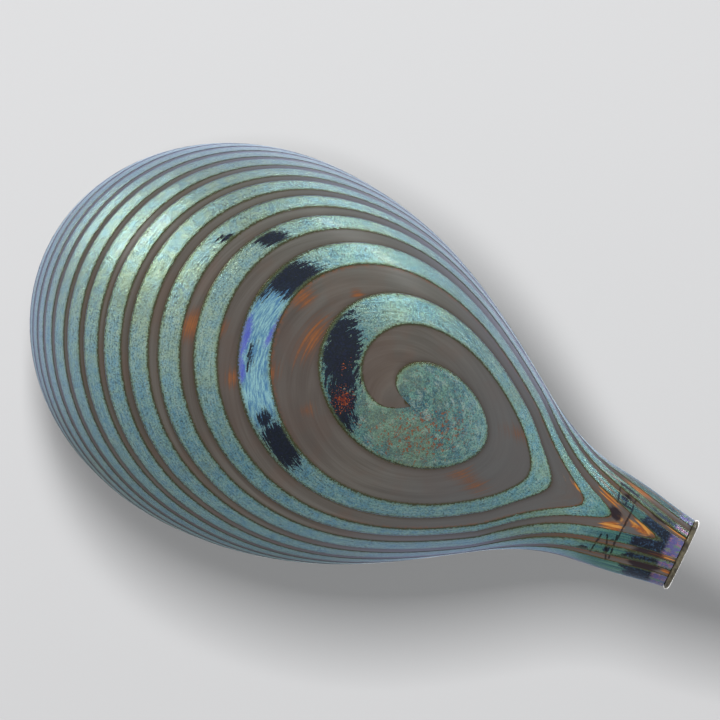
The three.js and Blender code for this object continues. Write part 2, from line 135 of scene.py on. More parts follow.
def body_outline():
    """Arc length, x and radius from the breast tip to the tail end."""
    turn = np.linspace(0, math.pi / 2, CURVE_STEPS)
    reach = BELLY_X - BREAST_X
    x = [BELLY_X - reach * np.cos(turn)]
    r = [BELLY_RADIUS * np.sin(turn)]
    back, nape, tail = SHOULDER_X - BELLY_X, WAIST_X - SHOULDER_X, TAIL_X - WAIST_X
    curves = [
        [(BELLY_X, BELLY_RADIUS), (BELLY_X + BELLY_HANDLE * back, BELLY_RADIUS),
         (SHOULDER_X - SHOULDER_LEAD * back, SHOULDER_RADIUS + SHOULDER_LEAD * back * SHOULDER_FALL),
         (SHOULDER_X, SHOULDER_RADIUS)],
        [(SHOULDER_X, SHOULDER_RADIUS),
         (SHOULDER_X + SHOULDER_HANDLE * nape, SHOULDER_RADIUS - SHOULDER_HANDLE * nape * SHOULDER_FALL),
         (WAIST_X - WAIST_LEAD * nape, WAIST_RADIUS + WAIST_LEAD * nape * WAIST_FALL),
         (WAIST_X, WAIST_RADIUS)],
        [(WAIST_X, WAIST_RADIUS),
         (WAIST_X + WAIST_HANDLE * tail, WAIST_RADIUS - WAIST_HANDLE * tail * WAIST_FALL),
         (TAIL_X - TAIL_LEAD * tail, TAIL_RADIUS + TAIL_RISE * tail), (TAIL_X, TAIL_RADIUS)],
    ]
    t = np.linspace(0, 1, CURVE_STEPS)[1:]
    for a, b, c, d in curves:
        weights = [(1 - t) ** 3, 3 * t * (1 - t) ** 2, 3 * t * t * (1 - t), t ** 3]
        x.append(sum(w * p[0] for w, p in zip(weights, (a, b, c, d))))
        r.append(sum(w * p[1] for w, p in zip(weights, (a, b, c, d))))
    x, r = np.concatenate(x), np.concatenate(r)
    arc = np.concatenate([[0], np.cumsum(np.hypot(np.diff(x), np.diff(r)))])
    even = np.linspace(0, arc[-1], ARC_STEPS)
    return even, np.interp(even, arc, x), np.interp(even, arc, r)


ARC, ARC_X, ARC_R = body_outline()
SLOPE_X, SLOPE_R = np.gradient(ARC_X, ARC), np.gradient(ARC_R, ARC)
EVEN_ARC = EVEN_SHARE * ARC[-1]
RATE = EVEN_LATITUDE / EVEN_ARC
EASE = (RATE * ARC[-1] - LIP_LATITUDE) / (ARC[-1] - EVEN_ARC) ** 2


def outline_at(latitude):
    """x, radius and outward normal of the outline at a latitude."""
    root = np.maximum(RATE ** 2 - 4 * EASE * np.maximum(latitude - EVEN_LATITUDE, 0), 0)
    drawn = EVEN_ARC + (RATE - np.sqrt(root)) / (2 * EASE)
    arc = np.where(latitude <= EVEN_LATITUDE, latitude / RATE, drawn)
    arc = np.clip(arc, 0, ARC[-1])
    turn = np.radians(90 * np.clip((latitude - LIP_LATITUDE) / (180 - LIP_LATITUDE), 0, 1))
    beyond = latitude > LIP_LATITUDE
    x = np.where(beyond, TAIL_X + MOUTH_DOME * np.sin(turn), np.interp(arc, ARC, ARC_X))
    r = np.where(beyond, TAIL_RADIUS * np.cos(turn), np.interp(arc, ARC, ARC_R))
    nx = np.where(beyond, np.sin(turn), -np.interp(arc, ARC, SLOPE_R))
    nr = np.where(beyond, np.cos(turn), np.interp(arc, ARC, SLOPE_X))
    return x, r, nx, nr


def flatness(x):
    """Height of a cross-section as a share of its width."""
    return 1 - (1 - TAIL_FLATNESS) * smoothstep(x, FLATTENING_X, TAIL_X)


def body_points(latitude, bearing, depth):
    """Points of the body at latitudes and bearings in radians, some depth below its skin."""
    x0, r, nx, nr = outline_at(latitude)
    across = r - depth * nr
    up = r * flatness(x0) - depth * nr
    z = AXIS_Z - up * np.cos(bearing)
    over = z - depth
    soft = depth + (over + REST_SOFTENING) ** 2 / (4 * REST_SOFTENING)
    z = np.where(over <= -REST_SOFTENING, depth, np.where(over >= REST_SOFTENING, z, soft))
    x, y = x0 - depth * nx, across * np.sin(bearing)
    x = x + BREAST_EASE * smoothstep(-x, BREAST_EASE_START, -BREAST_X)
    y = y - SIDE_EASE * smoothstep(y, SIDE_EASE_START, BELLY_RADIUS)
    return np.stack([x, y, z], -1)


# Spiral of the trail

def direction_of(latitude, bearing):
    """Direction from the centre of the plain sphere that the body is drawn out from."""
    s, c = math.sin(math.radians(latitude)), math.cos(math.radians(latitude))
    b = math.radians(bearing)
    return np.array([-c, s * math.sin(b), -s * math.cos(b)])


EYE = direction_of(EYE_LATITUDE, EYE_BEARING)
TAILWARD = np.array([1.0, 0, 0]) - EYE * EYE[0]
TAILWARD /= np.linalg.norm(TAILWARD)
CROSSWARD = np.cross(EYE, TAILWARD)
CROSSWARD *= np.sign(CROSSWARD[1])


def pull(x):
    """How many times the turns are drawn out lengthways, by the place along the body."""
    along = np.maximum(0, (x - DRAW_START) / (CUT_X - DRAW_START))
    return 1 + DRAW_GAIN * np.minimum(along, DRAW_LIMIT) ** DRAW_POWER


def spiral_points(theta, azimuth, depth):
    """Points of the body by degrees from the eye and degrees round it."""
    t, a = np.radians(theta), np.radians(azimuth)
    d = (np.cos(t)[..., None] * EYE + (np.sin(t) * np.cos(a))[..., None] * TAILWARD
         + (np.sin(t) * np.sin(a))[..., None] * CROSSWARD)
    latitude = np.degrees(np.arccos(np.clip(-d[..., 0], -1, 1)))
    round_axis = np.arctan2(d[..., 1], -d[..., 2]) - math.radians(EYE_BEARING)
    half = np.arctan2(np.sin(round_axis), np.cos(round_axis)) / 2
    draw = pull(outline_at(latitude)[0])
    bearing = math.radians(EYE_BEARING) + 2 * np.arctan2(np.sin(half), draw * np.cos(half))
    return body_points(latitude, bearing, depth)


def skin_scale(theta, azimuth, probe):
    """Millimetres of skin per degree from the eye, felt out by a probe of some degrees."""
    skin = np.zeros_like(theta)
    beyond = spiral_points(theta + probe, azimuth, skin)
    before = spiral_points(np.maximum(theta - probe, 0), azimuth, skin)
    return np.linalg.norm(beyond - before, axis=-1) / (2 * probe)


def eye_angles(latitude, bearing):
    """Angle from the eye and azimuth about it of points given by latitude and bearing."""
    draw = pull(outline_at(latitude)[0])
    half = (bearing - math.radians(EYE_BEARING)) / 2
    half = np.arctan2(np.sin(half), np.cos(half))
    b = math.radians(EYE_BEARING) + 2 * np.arctan2(draw * np.sin(half), np.cos(half))
    s, c = np.sin(np.radians(latitude)), np.cos(np.radians(latitude))
    d = np.stack([-c, s * np.sin(b), -s * np.cos(b)], -1)
    theta = np.degrees(np.arccos(np.clip(d @ EYE, -1, 1)))
    return theta, np.arctan2(d @ CROSSWARD, d @ TAILWARD)


def front_turns(theta):
    """Turns of the winding up to an angle from the eye, on the eye's side of the body."""
    constant, slope, curve = TURN_LAW
    x = theta / 10
    return constant + slope * x + curve * x * x


def turns_at(theta):
    """The same for all of the body, whose far side mirrors the near one's spacing."""
    far = 2 * front_turns(FAR_SIDE) - front_turns(2 * FAR_SIDE - theta)
    return np.where(theta <= FAR_SIDE, front_turns(theta), far)


def bare_share(theta):
    return BARE_FAR + BARE_NEAR * np.exp(-np.minimum(theta, 2 * FAR_SIDE - theta) / BARE_FADE)


# Angles from the eye at which the even law is worked out
THETAS = np.linspace(15, 178, 6000)


def band_edge(n, side):
    """Angle of a bare band's inner edge, side -1, or outer edge, side 1, by the even law."""
    return np.interp(n, turns_at(THETAS) - side * bare_share(THETAS) / 2, THETAS)


def through(points, n):
    """Smooth curve through given points."""
    px, py = np.array(points, float).T
    slope = np.empty_like(px)
    slope[1:-1] = (py[2:] - py[:-2]) / (px[2:] - px[:-2])
    slope[0] = (py[1] - py[0]) / (px[1] - px[0])
    slope[-1] = (py[-1] - py[-2]) / (px[-1] - px[-2])
    i = np.clip(np.searchsorted(px, n, side="right") - 1, 0, len(px) - 2)
    step = px[i + 1] - px[i]
    t = np.clip((n - px[i]) / step, 0, 1)
    flat = (1 + 2 * t) * (1 - t) ** 2 * py[i] + t * t * (3 - 2 * t) * py[i + 1]
    return flat + t * (1 - t) ** 2 * step * slope[i] + t * t * (t - 1) * step * slope[i + 1]


def straying(n):
    """How far the hand-laid turns stray from the even law, in degrees."""
    later = LATER_REACH * np.tanh(n / LATER_REACH)
    first = EYE_SWING * np.exp(-n / EYE_SWING_FADE)
    turn = 2 * math.pi * n

    def amount(constant, slope, swing):
        return constant + slope * later + swing * first

    all_round = amount(*STRAY_ALL_ROUND)
    tailward = amount(*STRAY_TAILWARD) * np.cos(turn)
    sideways = amount(*STRAY_SIDEWAYS) * np.sin(turn)
    bulge = BULGE * smoothstep(n, *BULGE_TURNS) * np.exp(-((n - np.round(n)) / BULGE_WIDTH) ** 2)
    dip = THIRD_DIP * np.exp(-((n - 3) / THIRD_DIP_WIDTH) ** 2)
    return (1 - smoothstep(n, *STRAY_FADE)) * (all_round + tailward + sideways + bulge) - dip


def edge_theta(n, side):
    """Angle of a bare band's edge as it is laid: listed at first, then by the law with its straying."""
    start = HOOK_OUTER if side > 0 else HOOK_INNER
    last = start[-1][0]
    share = smoothstep(n, last - HOOK_BLEND, last)
    return (1 - share) * through(start, n) + share * (band_edge(n, side) + straying(n))


def wound(theta, azimuth):
    """Coordinates that follow the winding: round it, and from turn to turn."""
    reach = np.clip(theta / CORE_DEGREES, 0, 1)
    return np.stack([reach * np.cos(azimuth), reach * np.sin(azimuth), turns_at(theta)], -1)


def bare_margins(theta, azimuth, scale):
    """Millimetres from the nearest bare band's inner edge, millimetres to its outer edge, its turn."""
    first = np.mod(azimuth / (2 * math.pi), 1)
    inner, outer, turn = (np.zeros_like(theta) for _ in range(3))
    for k in range(math.ceil(END) + 1):
        n = first + k
        low, high = edge_theta(n, -1), edge_theta(n, 1)
        before = np.where(n > 1 + HOOK_CLEAR, edge_theta(np.maximum(n - 1, HOOK_CLEAR), 1), 0)
        near = theta >= (before + low) / 2
        inner = np.where(near, (theta - low) * scale, inner)
        outer = np.where(near, (high - theta) * scale, outer)
        turn = np.where(near, n, turn)
    return np.stack([inner, outer, turn], -1)


def trail_inner(n):
    return np.where(n < HOOK_START, 0, edge_theta(n, 1))


def trail_outer(n):
    taper = np.sqrt(np.clip((END - n) / END_TAPER, 0, 1))
    inner = trail_inner(n)
    return inner + taper * (edge_theta(n + 1, -1) - inner)


# Mesh helpers

def new_piece(name, points, faces):
    mesh = bpy.data.meshes.new(name)
    mesh.from_pydata((np.asarray(points) * MM).tolist(), [], faces)
    mesh.update()
    piece = bpy.data.objects.new(name, mesh)
    bpy.context.scene.collection.objects.link(piece)
    return piece


def write_attribute(piece, name, kind, values):
    attribute = piece.data.attributes.new(name, kind, "POINT")
    key = "vector" if kind == "FLOAT_VECTOR" else "value"
    attribute.data.foreach_set(key, np.asarray(values, np.float32).ravel())


def deselect():
    for o in bpy.context.selected_objects:
        o.select_set(False)


def take_up(piece):
    """Selects one piece alone and makes it the active one."""
    deselect()
    piece.select_set(True)
    bpy.context.view_layer.objects.active = piece


def smooth(piece, degrees=None):
    piece.data.polygons.foreach_set("use_smooth", [True] * len(piece.data.polygons))
    if degrees is not None:
        take_up(piece)
        bpy.ops.object.shade_smooth_by_angle(angle=math.radians(degrees))
        piece.select_set(False)


def ring_faces(rows, columns):
    """Faces between rows of points, each row a closed ring."""
    faces = []
    for i in range(rows - 1):
        for j in range(columns):
            k = (j + 1) % columns
            faces.append((i * columns + j, i * columns + k, (i + 1) * columns + k, (i + 1) * columns + j))
    return faces


# Distances in metres at which points are merged and slivers go
MERGE, SLIVER, ON_THE_CUT = 0.000002, 0.000001, 1e-7


def face_outwards(piece):
    bm = bmesh.new()
    bm.from_mesh(piece.data)
    bmesh.ops.remove_doubles(bm, verts=bm.verts, dist=MERGE)
    bmesh.ops.dissolve_degenerate(bm, edges=bm.edges, dist=SLIVER)
    bmesh.ops.recalc_face_normals(bm, faces=bm.faces)
    if bm.calc_volume(signed=True) < 0:
        bmesh.ops.reverse_faces(bm, faces=bm.faces)
    bm.to_mesh(piece.data)
    bm.free()


# The blown body: one shell, open at the tail

def blown_body():
    sides, breast_rings, back_rings = 224, 60, 170
    breast_arc, sunk = 60, 0.12
    lip_arc = float(np.interp(CUT_X, ARC_X, ARC))
    arcs = np.concatenate([np.linspace(0, breast_arc, breast_rings),
                           np.linspace(breast_arc, lip_arc, back_rings)[1:]])
    easing = EVEN_LATITUDE + RATE * (arcs - EVEN_ARC) - EASE * (arcs - EVEN_ARC) ** 2
    latitudes = np.where(arcs <= EVEN_ARC, arcs * RATE, easing)
    bearings = np.linspace(-math.pi, math.pi, sides + 1)[:-1]
    lat, bear = np.meshgrid(latitudes, bearings, indexing="ij")
    outer = body_points(lat, bear, np.full_like(lat, sunk))
    outer[0] = [BREAST_X + sunk, 0, AXIS_Z]
    outer[-1, :, 0] = CUT_X

    # The inner wall runs back from the mouth, with every third ring
    lat2, bear2 = np.meshgrid(latitudes[::-3], bearings, indexing="ij")
    wall = BODY_WALL + (TAIL_WALL - BODY_WALL) * smoothstep(outline_at(lat2)[0], WALL_THINNING_X, CUT_X)
    inner = body_points(lat2, bear2, wall)
    inner[0, :, 0] = CUT_X
    inner[-1] = [BREAST_X + BODY_WALL, 0, AXIS_Z]
    points = np.concatenate([outer, inner]).reshape(-1, 3)
    piece = new_piece("blown_body", points, ring_faces(len(outer) + len(inner), sides))

    theta, azimuth = eye_angles(np.concatenate([lat, lat2]).ravel(), np.concatenate([bear, bear2]).ravel())
    write_attribute(piece, "strip", "FLOAT_VECTOR", wound(theta, azimuth))
    scale = skin_scale(theta, np.degrees(azimuth), 0.3)
    write_attribute(piece, "band", "FLOAT_VECTOR", bare_margins(theta, azimuth, scale))
    face_outwards(piece)
    smooth(piece)
    return piece


# The trail: a ribbon of lustre glass wound about the eye

# The ribbon laps over the bare glass a little, and its shoulders are rounded
OVERLAP = 0.35
SHOULDER_ROUNDING, ROUNDED_SHARE = 0.45, 0.25
ROUNDING = [(0, 0.22), (0.3, 0.06), (1, 0)]
RIBBON_DEPTH = 0.8
EYE_DEGREES = 2


def trail_turns():
    """Places along the winding in turns, closer together where it bends most."""
    rows_per_turn, once_a_turn, twice_a_turn = 150, 0.5, 0.175
    eye_turns, eye_rows, closest = 0.6, 120, 0.0005
    u = np.arange(-1, math.ceil(END) + 1, 1 / rows_per_turn)
    once = once_a_turn * np.sin(2 * math.pi * u)
    twice = twice_a_turn * np.sin(4 * math.pi * u)
    n = u - (once + twice) / (2 * math.pi)
    low, high = START + 0.012, END - 0.05
    n = np.sort(np.concatenate([n, np.linspace(START, eye_turns, eye_rows), [low, high]]))
    n = n[(n >= low) & (n <= high)]
    return n[np.concatenate([[True], np.diff(n) > closest])]


def trail():
    n = trail_turns()
    inner = trail_inner(n)
    outer = np.maximum(trail_outer(n), inner + 0.01)
    azimuth, skin = 360 * n, np.zeros_like(n)
    least_scale, least_width = 0.25, 0.02
    for side in (-1, 1):
        edge = inner if side < 0 else outer
        scale = np.maximum(skin_scale(edge, azimuth, 0.5), least_scale)
        moved = edge + side * OVERLAP / scale * np.clip(edge / EYE_DEGREES, 0, 1)
        inner, outer = (moved, outer) if side < 0 else (inner, moved)
    across = spiral_points(outer, azimuth, skin) - spiral_points(inner, azimuth, skin)
    width = np.maximum(np.linalg.norm(across, axis=1), least_width)
    softening = np.minimum(SHOULDER_ROUNDING, width * ROUNDED_SHARE)

    # Columns of points from the inner edge over the top and back underneath
    columns, depths = [], []
    middle = 7
    lifted = np.clip(inner / EYE_DEGREES, 0, 1)
    for offset, drop in ROUNDING:
        columns.append(softening * offset / width)
        depths.append(drop * lifted)
    for i in range(1, middle):
        share = softening / width
        columns.append(share + (1 - 2 * share) * i / middle)
        depths.append(skin)
    for offset, drop in reversed(ROUNDING):
        columns.append(1 - softening * offset / width)
        depths.append(np.full_like(n, drop))
    for share in (1.0, 0.5, 0.0):
        columns.append(np.full_like(n, share))
        depths.append(np.full_like(n, RIBBON_DEPTH))
    u = np.stack(columns, 1)
    depth = np.stack(depths, 1)
    theta = inner[:, None] + u * (outer - inner)[:, None]
    points = spiral_points(theta, np.broadcast_to(azimuth[:, None], theta.shape), depth)
    rows, count = u.shape
    faces = ring_faces(rows, count)
    faces.append(tuple(range(count - 1, -1, -1)))
    faces.append(tuple(range((rows - 1) * count, rows * count)))
    piece = new_piece("trail", points.reshape(-1, 3), faces)
    along = np.broadcast_to(np.radians(azimuth)[:, None], u.shape)
    write_attribute(piece, "strip", "FLOAT_VECTOR", wound(theta, along))
    inner_way = np.where(n[:, None] < HOOK_START, 1.0, u)
    write_attribute(piece, "rim", "FLOAT", np.minimum(inner_way, 1 - u) * width[:, None])
    return piece


def cut_at_mouth(piece):
    """Cuts the trail where the tail was opened, and closes the cut ends."""
    bm = bmesh.new()
    bm.from_mesh(piece.data)
    geometry = bm.verts[:] + bm.edges[:] + bm.faces[:]
    bmesh.ops.bisect_plane(bm, geom=geometry, dist=ON_THE_CUT, plane_co=(CUT_X * MM, 0, 0),
                           plane_no=(1, 0, 0), clear_outer=True)
    open_edges = [e for e in bm.edges if e.is_boundary]
    bmesh.ops.holes_fill(bm, edges=open_edges, sides=0)
    bmesh.ops.triangulate(bm, faces=[f for f in bm.faces if len(f.verts) > 4])
    bm.to_mesh(piece.data)
    bm.free()


def split_lengths(piece):
    """Parts the winding into its separate lengths, the largest first."""
    take_up(piece)
    bpy.ops.mesh.separate(type="LOOSE")
    lengths = list(bpy.context.selected_objects)
    deselect()
    return sorted(lengths, key=lambda o: len(o.data.vertices), reverse=True)


# Head, beak and lip, modelled by hand from primitives

def pick(piece, test):
    """Selects the faces whose centre passes the test, in edit mode."""
    bpy.ops.object.mode_set(mode="OBJECT")
    for p in piece.data.polygons:
        p.select = bool(test(p.center, p.normal))
    for e in piece.data.edges:
        e.select = False
    for v in piece.data.vertices:
        v.select = False
    bpy.ops.object.mode_set(mode="EDIT")
    bpy.ops.mesh.select_mode(type="FACE")


def settle(piece):
    """Puts a piece's place, turn and size into its mesh."""
    take_up(piece)
    bpy.ops.object.transform_apply(location=True, rotation=True, scale=True)
    piece.select_set(False)


SEAT = spiral_points(np.array([180.0]), np.array([0.0]), np.array([0.0]))[0]
HEAD_AXIS = Vector((-0.42, 0, 0.9)).normalized()
BEAK_AXIS = Vector((-0.97, 0, -0.22)).normalized()
HEAD_RADIUS = 13.0
HEAD_OPENING = -0.68
NECK = 12.0
HEAD_CENTRE = Vector(SEAT) + HEAD_AXIS * NECK
BEAK_LENGTH = 15.0
BEAK_ROOT, BEAK_TIP = 4.6, 1.1
BEAK_WAIST = 0.16
BEAK_SUNK = 1.6
UPWARD, LONG_EDGE = 0.9, 0.4
LIP_SPREAD, LIP_SWELL, LIP_LAP = 0.2, 0.3, 0.15

# The neck drawn down from the head: drop, and widening of its ring
NECK_STEPS = [(-1.4, 0.985), (-1.6, 1.03), (-1.6, 1.08), (-1.8, 1.12), (-1.8, 1.1), (-3.0, 1.02)]

# The beak's rounded tip: rise, and narrowing of its cap
TIP_STEPS = [(0.5, 0.7), (0.2, 0.5)]


def head():
    deselect()
    bpy.ops.mesh.primitive_uv_sphere_add(segments=64, ring_count=40, radius=HEAD_RADIUS * MM,
                                         location=(0, 0, 0))
    piece = bpy.context.active_object
    piece.name = "head_gather"
    bpy.ops.object.mode_set(mode="EDIT")
    pick(piece, lambda c, n: c.z < HEAD_OPENING * HEAD_RADIUS * MM)
    bpy.ops.mesh.delete(type="FACE")
    bpy.ops.object.mode_set(mode="OBJECT")
    low = min(v.co.z for v in piece.data.vertices)
    bpy.ops.object.mode_set(mode="EDIT")
    bpy.ops.mesh.select_mode(type="EDGE")
    bpy.ops.mesh.select_all(action="DESELECT")
    bpy.ops.mesh.select_non_manifold()
    for drop, widen in NECK_STEPS:
        bpy.ops.mesh.extrude_edges_move(TRANSFORM_OT_translate={"value": (0, 0, drop * MM)})
        bpy.ops.transform.resize(value=(widen, widen, 1), center_override=(0, 0, low))
    bpy.ops.mesh.edge_face_add()
    bpy.ops.object.mode_set(mode="OBJECT")
    subdivide = piece.modifiers.new("soften", "SUBSURF")
    subdivide.levels = subdivide.render_levels = 1
    bpy.ops.object.modifier_apply(modifier=subdivide.name)
    piece.rotation_euler = HEAD_AXIS.to_track_quat("Z", "Y").to_euler()
    piece.location = HEAD_CENTRE * MM
    settle(piece)
    smooth(piece)
    return piece


def beak():
    deselect()
    bpy.ops.mesh.primitive_cone_add(vertices=48, radius1=BEAK_ROOT * MM, radius2=BEAK_TIP * MM,
                                    depth=BEAK_LENGTH * MM, location=(0, 0, BEAK_LENGTH / 2 * MM))
    piece = bpy.context.active_object
    piece.name = "beak_bit"
    settle(piece)
    take_up(piece)
    bpy.ops.object.mode_set(mode="EDIT")
    pick(piece, lambda c, n: n.z > UPWARD)
    for rise, narrow in TIP_STEPS:
        bpy.ops.mesh.extrude_region_move(TRANSFORM_OT_translate={"value": (0, 0, rise * MM)})
        bpy.ops.transform.resize(value=(narrow, narrow, 1))
    bpy.ops.object.mode_set(mode="OBJECT")
    bm = bmesh.new()
    bm.from_mesh(piece.data)
    long_edges = [e for e in bm.edges if e.calc_length() > LONG_EDGE * BEAK_LENGTH * MM]
    bmesh.ops.subdivide_edges(bm, edges=long_edges, cuts=10)
    for v in bm.verts:
        along = min(max(v.co.z / (BEAK_LENGTH * MM), 0), 1)
        waist = 1 - BEAK_WAIST * math.sin(math.pi * along)
        v.co.x *= waist
        v.co.y *= waist
    bm.to_mesh(piece.data)
    bm.free()
    root = HEAD_CENTRE + BEAK_AXIS * (HEAD_RADIUS - BEAK_SUNK)
    piece.rotation_euler = BEAK_AXIS.to_track_quat("Z", "Y").to_euler()
    piece.location = root * MM
    settle(piece)
    smooth(piece, 40)
    return piece


def lip_wrap():
    deselect()
    half, lap = TAIL_WALL / 2 + LIP_SWELL, WRAP / 2 + LIP_LAP
    middle = TAIL_RADIUS - TAIL_WALL / 2 + LIP_SPREAD
    high = TAIL_RADIUS * TAIL_FLATNESS - TAIL_WALL / 2 + LIP_SPREAD
    bpy.ops.mesh.primitive_torus_add(major_segments=128, minor_segments=24, major_radius=middle * MM,
                                     minor_radius=half * MM, location=(0, 0, 0))
    piece = bpy.context.active_object
    piece.name = "clear_lip"

    # The round ring is stood on edge and flattened to the tail's mouth
    for v in piece.data.vertices:
        ring = math.atan2(v.co.y, v.co.x)
        out = math.hypot(v.co.x, v.co.y) - middle * MM
        depth = v.co.z * lap / half
        y = (middle * MM + out) * math.cos(ring)
        z = (high * MM + out) * math.sin(ring)
        v.co = (TAIL_X * MM - lap * MM + depth, y, z + AXIS_Z * MM)
    face_outwards(piece)
    smooth(piece)
    return piece


# Shader maths

def tone(r, g, b):
    """An 8-bit screen colour as the renderer's own."""
    linear = [((c / 255 + 0.055) / 1.055) ** 2.4 if c > 10 else c / 255 / 12.92 for c in (r, g, b)]
    return (*linear, 1.0)


class Amount:
    """A shader value that ordinary arithmetic works on."""

    def __init__(self, finish, socket):
        self.finish = finish
        self.socket = socket

    def math(self, operation, *others):
        return self.finish.node("ShaderNodeMath", {"operation": operation}, [self, *others])

    def __add__(self, other):
        return self.math("ADD", other)

    def __sub__(self, other):
        return self.math("SUBTRACT", other)

    def __mul__(self, other):
        return self.math("MULTIPLY", other)

    def __truediv__(self, other):
        return self.math("DIVIDE", other)

    def __pow__(self, other):
        return self.math("POWER", other)

    def __neg__(self):
        return self.math("MULTIPLY", -1.0)

    def __radd__(self, other):
        return self.math("ADD", other)

    def __rmul__(self, other):
        return self.math("MULTIPLY", other)

    def __rsub__(self, other):
        return self.finish.node("ShaderNodeMath", {"operation": "SUBTRACT"}, [other, self])

    def __rtruediv__(self, other):
        return self.finish.node("ShaderNodeMath", {"operation": "DIVIDE"}, [other, self])

    def rise(self, low, high):
        """0 below low, 1 above high, smooth between; with low above high it falls instead."""
        settings = {"interpolation_type": "SMOOTHSTEP", "clamp": True}
        inputs = {"Value": self, "From Min": low, "From Max": high}
        return self.finish.node("ShaderNodeMapRange", settings, inputs)


class Finish:
    """The nodes that make a material, or the world."""

    def __init__(self, owner):
        self.owner = owner
        self.owner.use_nodes = True
        self.tree = self.owner.node_tree
        self.tree.nodes.clear()

    def node(self, kind, settings=None, inputs=None, output=0):
        """Adds a node and gives back one of its outputs, or the node itself where output is None."""
        made = self.tree.nodes.new(kind)
        for key, value in (settings or {}).items():
            setattr(made, key, value)
        items = inputs.items() if isinstance(inputs, dict) else enumerate(inputs or [])
        for key, value in items:
            socket = made.inputs[key]
            if isinstance(value, Amount):
                self.tree.links.new(value.socket, socket)
            else:
                socket.default_value = value
        if output is None or not made.outputs:
            return made
        return Amount(self, made.outputs[output])

    def blend(self, share, under, over):
        """A share of the over colour laid on the under colour."""
        return self.node("ShaderNodeMix", {"data_type": "RGBA"}, {0: share, 6: under, 7: over}, output=2)

    def place(self):
        """Object coordinates in millimetres."""
        here = self.node("ShaderNodeTexCoord", output="Object")
        return self.node("ShaderNodeVectorMath", {"operation": "SCALE"}, {0: here, 3: 1 / MM})

    def parts(self, vector):
        split = self.node("ShaderNodeSeparateXYZ", inputs=[vector], output=None)
        return [Amount(self, split.outputs[i]) for i in range(3)]

    def stretched(self, vector, size):
        return self.node("ShaderNodeVectorMath", {"operation": "MULTIPLY"}, [vector, size])

    def noise(self, vector, scale, detail=2.0, roughness=0.5, distortion=0.0):
        inputs = {"Vector": vector, "Scale": scale, "Detail": detail, "Roughness": roughness,
                  "Distortion": distortion}
        return self.node("ShaderNodeTexNoise", None, inputs)

    def attribute(self, name, output):
        return self.node("ShaderNodeAttribute", {"attribute_name": name}, output=output)

    def bump(self, height, strength, distance):
        inputs = {"Height": height, "Strength": strength, "Distance": distance}
        return self.node("ShaderNodeBump", None, inputs)

    def shader(self, **sockets):
        inputs = {key.replace("_", " "): value for key, value in sockets.items()}
        return self.node("ShaderNodeBsdfPrincipled", None, inputs)

    def finish(self, surface):
        self.node("ShaderNodeOutputMaterial", None, [surface])
        return self.owner


# Finishes

# Tones of the bare amber glass, and of the light, shade and reflections painted on it
GATHER_GREY, GATHER_PALE = tone(98, 93, 87), tone(115, 111, 105)
STREAK_BROWN, THREAD_PALE = tone(84, 75, 66), tone(130, 126, 116)
CLOUD_ROSE, LIT_SIDE_SILVER = tone(118, 90, 76), tone(120, 123, 116)
MIDDLE_BROWN, BACK_GREY = tone(88, 77, 73), tone(104, 105, 106)
INNER_CREASE_SHADE, OUTER_CREASE_SHADE = tone(66, 54, 46), tone(76, 64, 56)
OLIVE_SEAM, SEAM_GLOW = tone(72, 68, 38), tone(150, 92, 56)
WARM_GLOW, HOT_GLOW = tone(122, 80, 56), tone(166, 104, 58)
TAIL_BROWN, TAIL_RUST = tone(112, 84, 68), tone(150, 94, 50)
DEEP_AMBER, BRIGHT_AMBER = tone(168, 92, 40), tone(240, 170, 84)
DARK_REFLECTION_TONE, DARK_LINE = tone(38, 28, 38), tone(30, 24, 28)
LAVENDER, SHADED_LAVENDER = tone(154, 166, 214), tone(90, 90, 118)
HEAD_BROWN, HEAD_PALE = tone(92, 78, 68), tone(126, 112, 100)
HEAD_RUST, HEAD_SHEEN = tone(150, 96, 60), tone(122, 138, 180)

# Tones of the lustre, and of the reflections, glints and sheen painted on it
TEAL_BLUE, TEAL_GREEN = tone(114, 168, 182), tone(136, 182, 178)
SILVER_BLUE, SILVER_GREEN = tone(148, 190, 196), tone(176, 202, 178)
NAPE_BLUE, NAPE_GREEN = tone(114, 182, 202), tone(132, 188, 182)
EYE_DEEP, EYE_GREEN = tone(44, 98, 118), tone(98, 156, 148)
LOW_BLUE, LOW_PALE = tone(100, 164, 196), tone(134, 188, 196)
PIT_DARK, SPECK_RUST = tone(38, 58, 56), tone(154, 84, 44)
COMBED_PALE, COMBED_DEEP = tone(186, 210, 200), tone(66, 108, 120)
FLECK_PALE, FLECK_DEEP = tone(176, 200, 176), tone(58, 88, 94)
GRAIN_GOLD, GRAIN_DEEP = tone(180, 190, 134), tone(52, 72, 66)
BROAD_OLIVE, VIOLET = tone(152, 168, 124), tone(92, 96, 210)
SKY_DEEP, SKY_PALE = tone(84, 142, 188), tone(160, 214, 220)
NAVY_DEEP, NAVY_PALE = tone(16, 20, 36), tone(30, 38, 66)
EMBER_DEEP, EMBER_BRIGHT = tone(128, 52, 34), tone(226, 122, 56)
NAVY_STREAK, GILT = tone(26, 34, 56), tone(146, 96, 58)
DRAWN_BLUE, DRAWN_GREEN = tone(46, 100, 108), tone(84, 138, 112)
DRAWN_DARK, DRAWN_PALE = tone(34, 50, 58), tone(150, 200, 196)
MOUTH_NAVY, MOUTH_BLUE = tone(20, 20, 42), tone(66, 96, 130)
BLACK_LINE, UPPER_SLATE = tone(14, 16, 24), tone(44, 62, 84)
NACRE_GREEN, NACRE_PINK = tone(106, 150, 124), tone(176, 128, 160)
LILAC, GREEN_FRINGE = tone(112, 104, 168), tone(128, 148, 98)
OLIVE_EDGE, BLUE_SHEEN = tone(66, 64, 34), tone(152, 172, 218)
SHADED_SHEEN = tone(80, 98, 120)

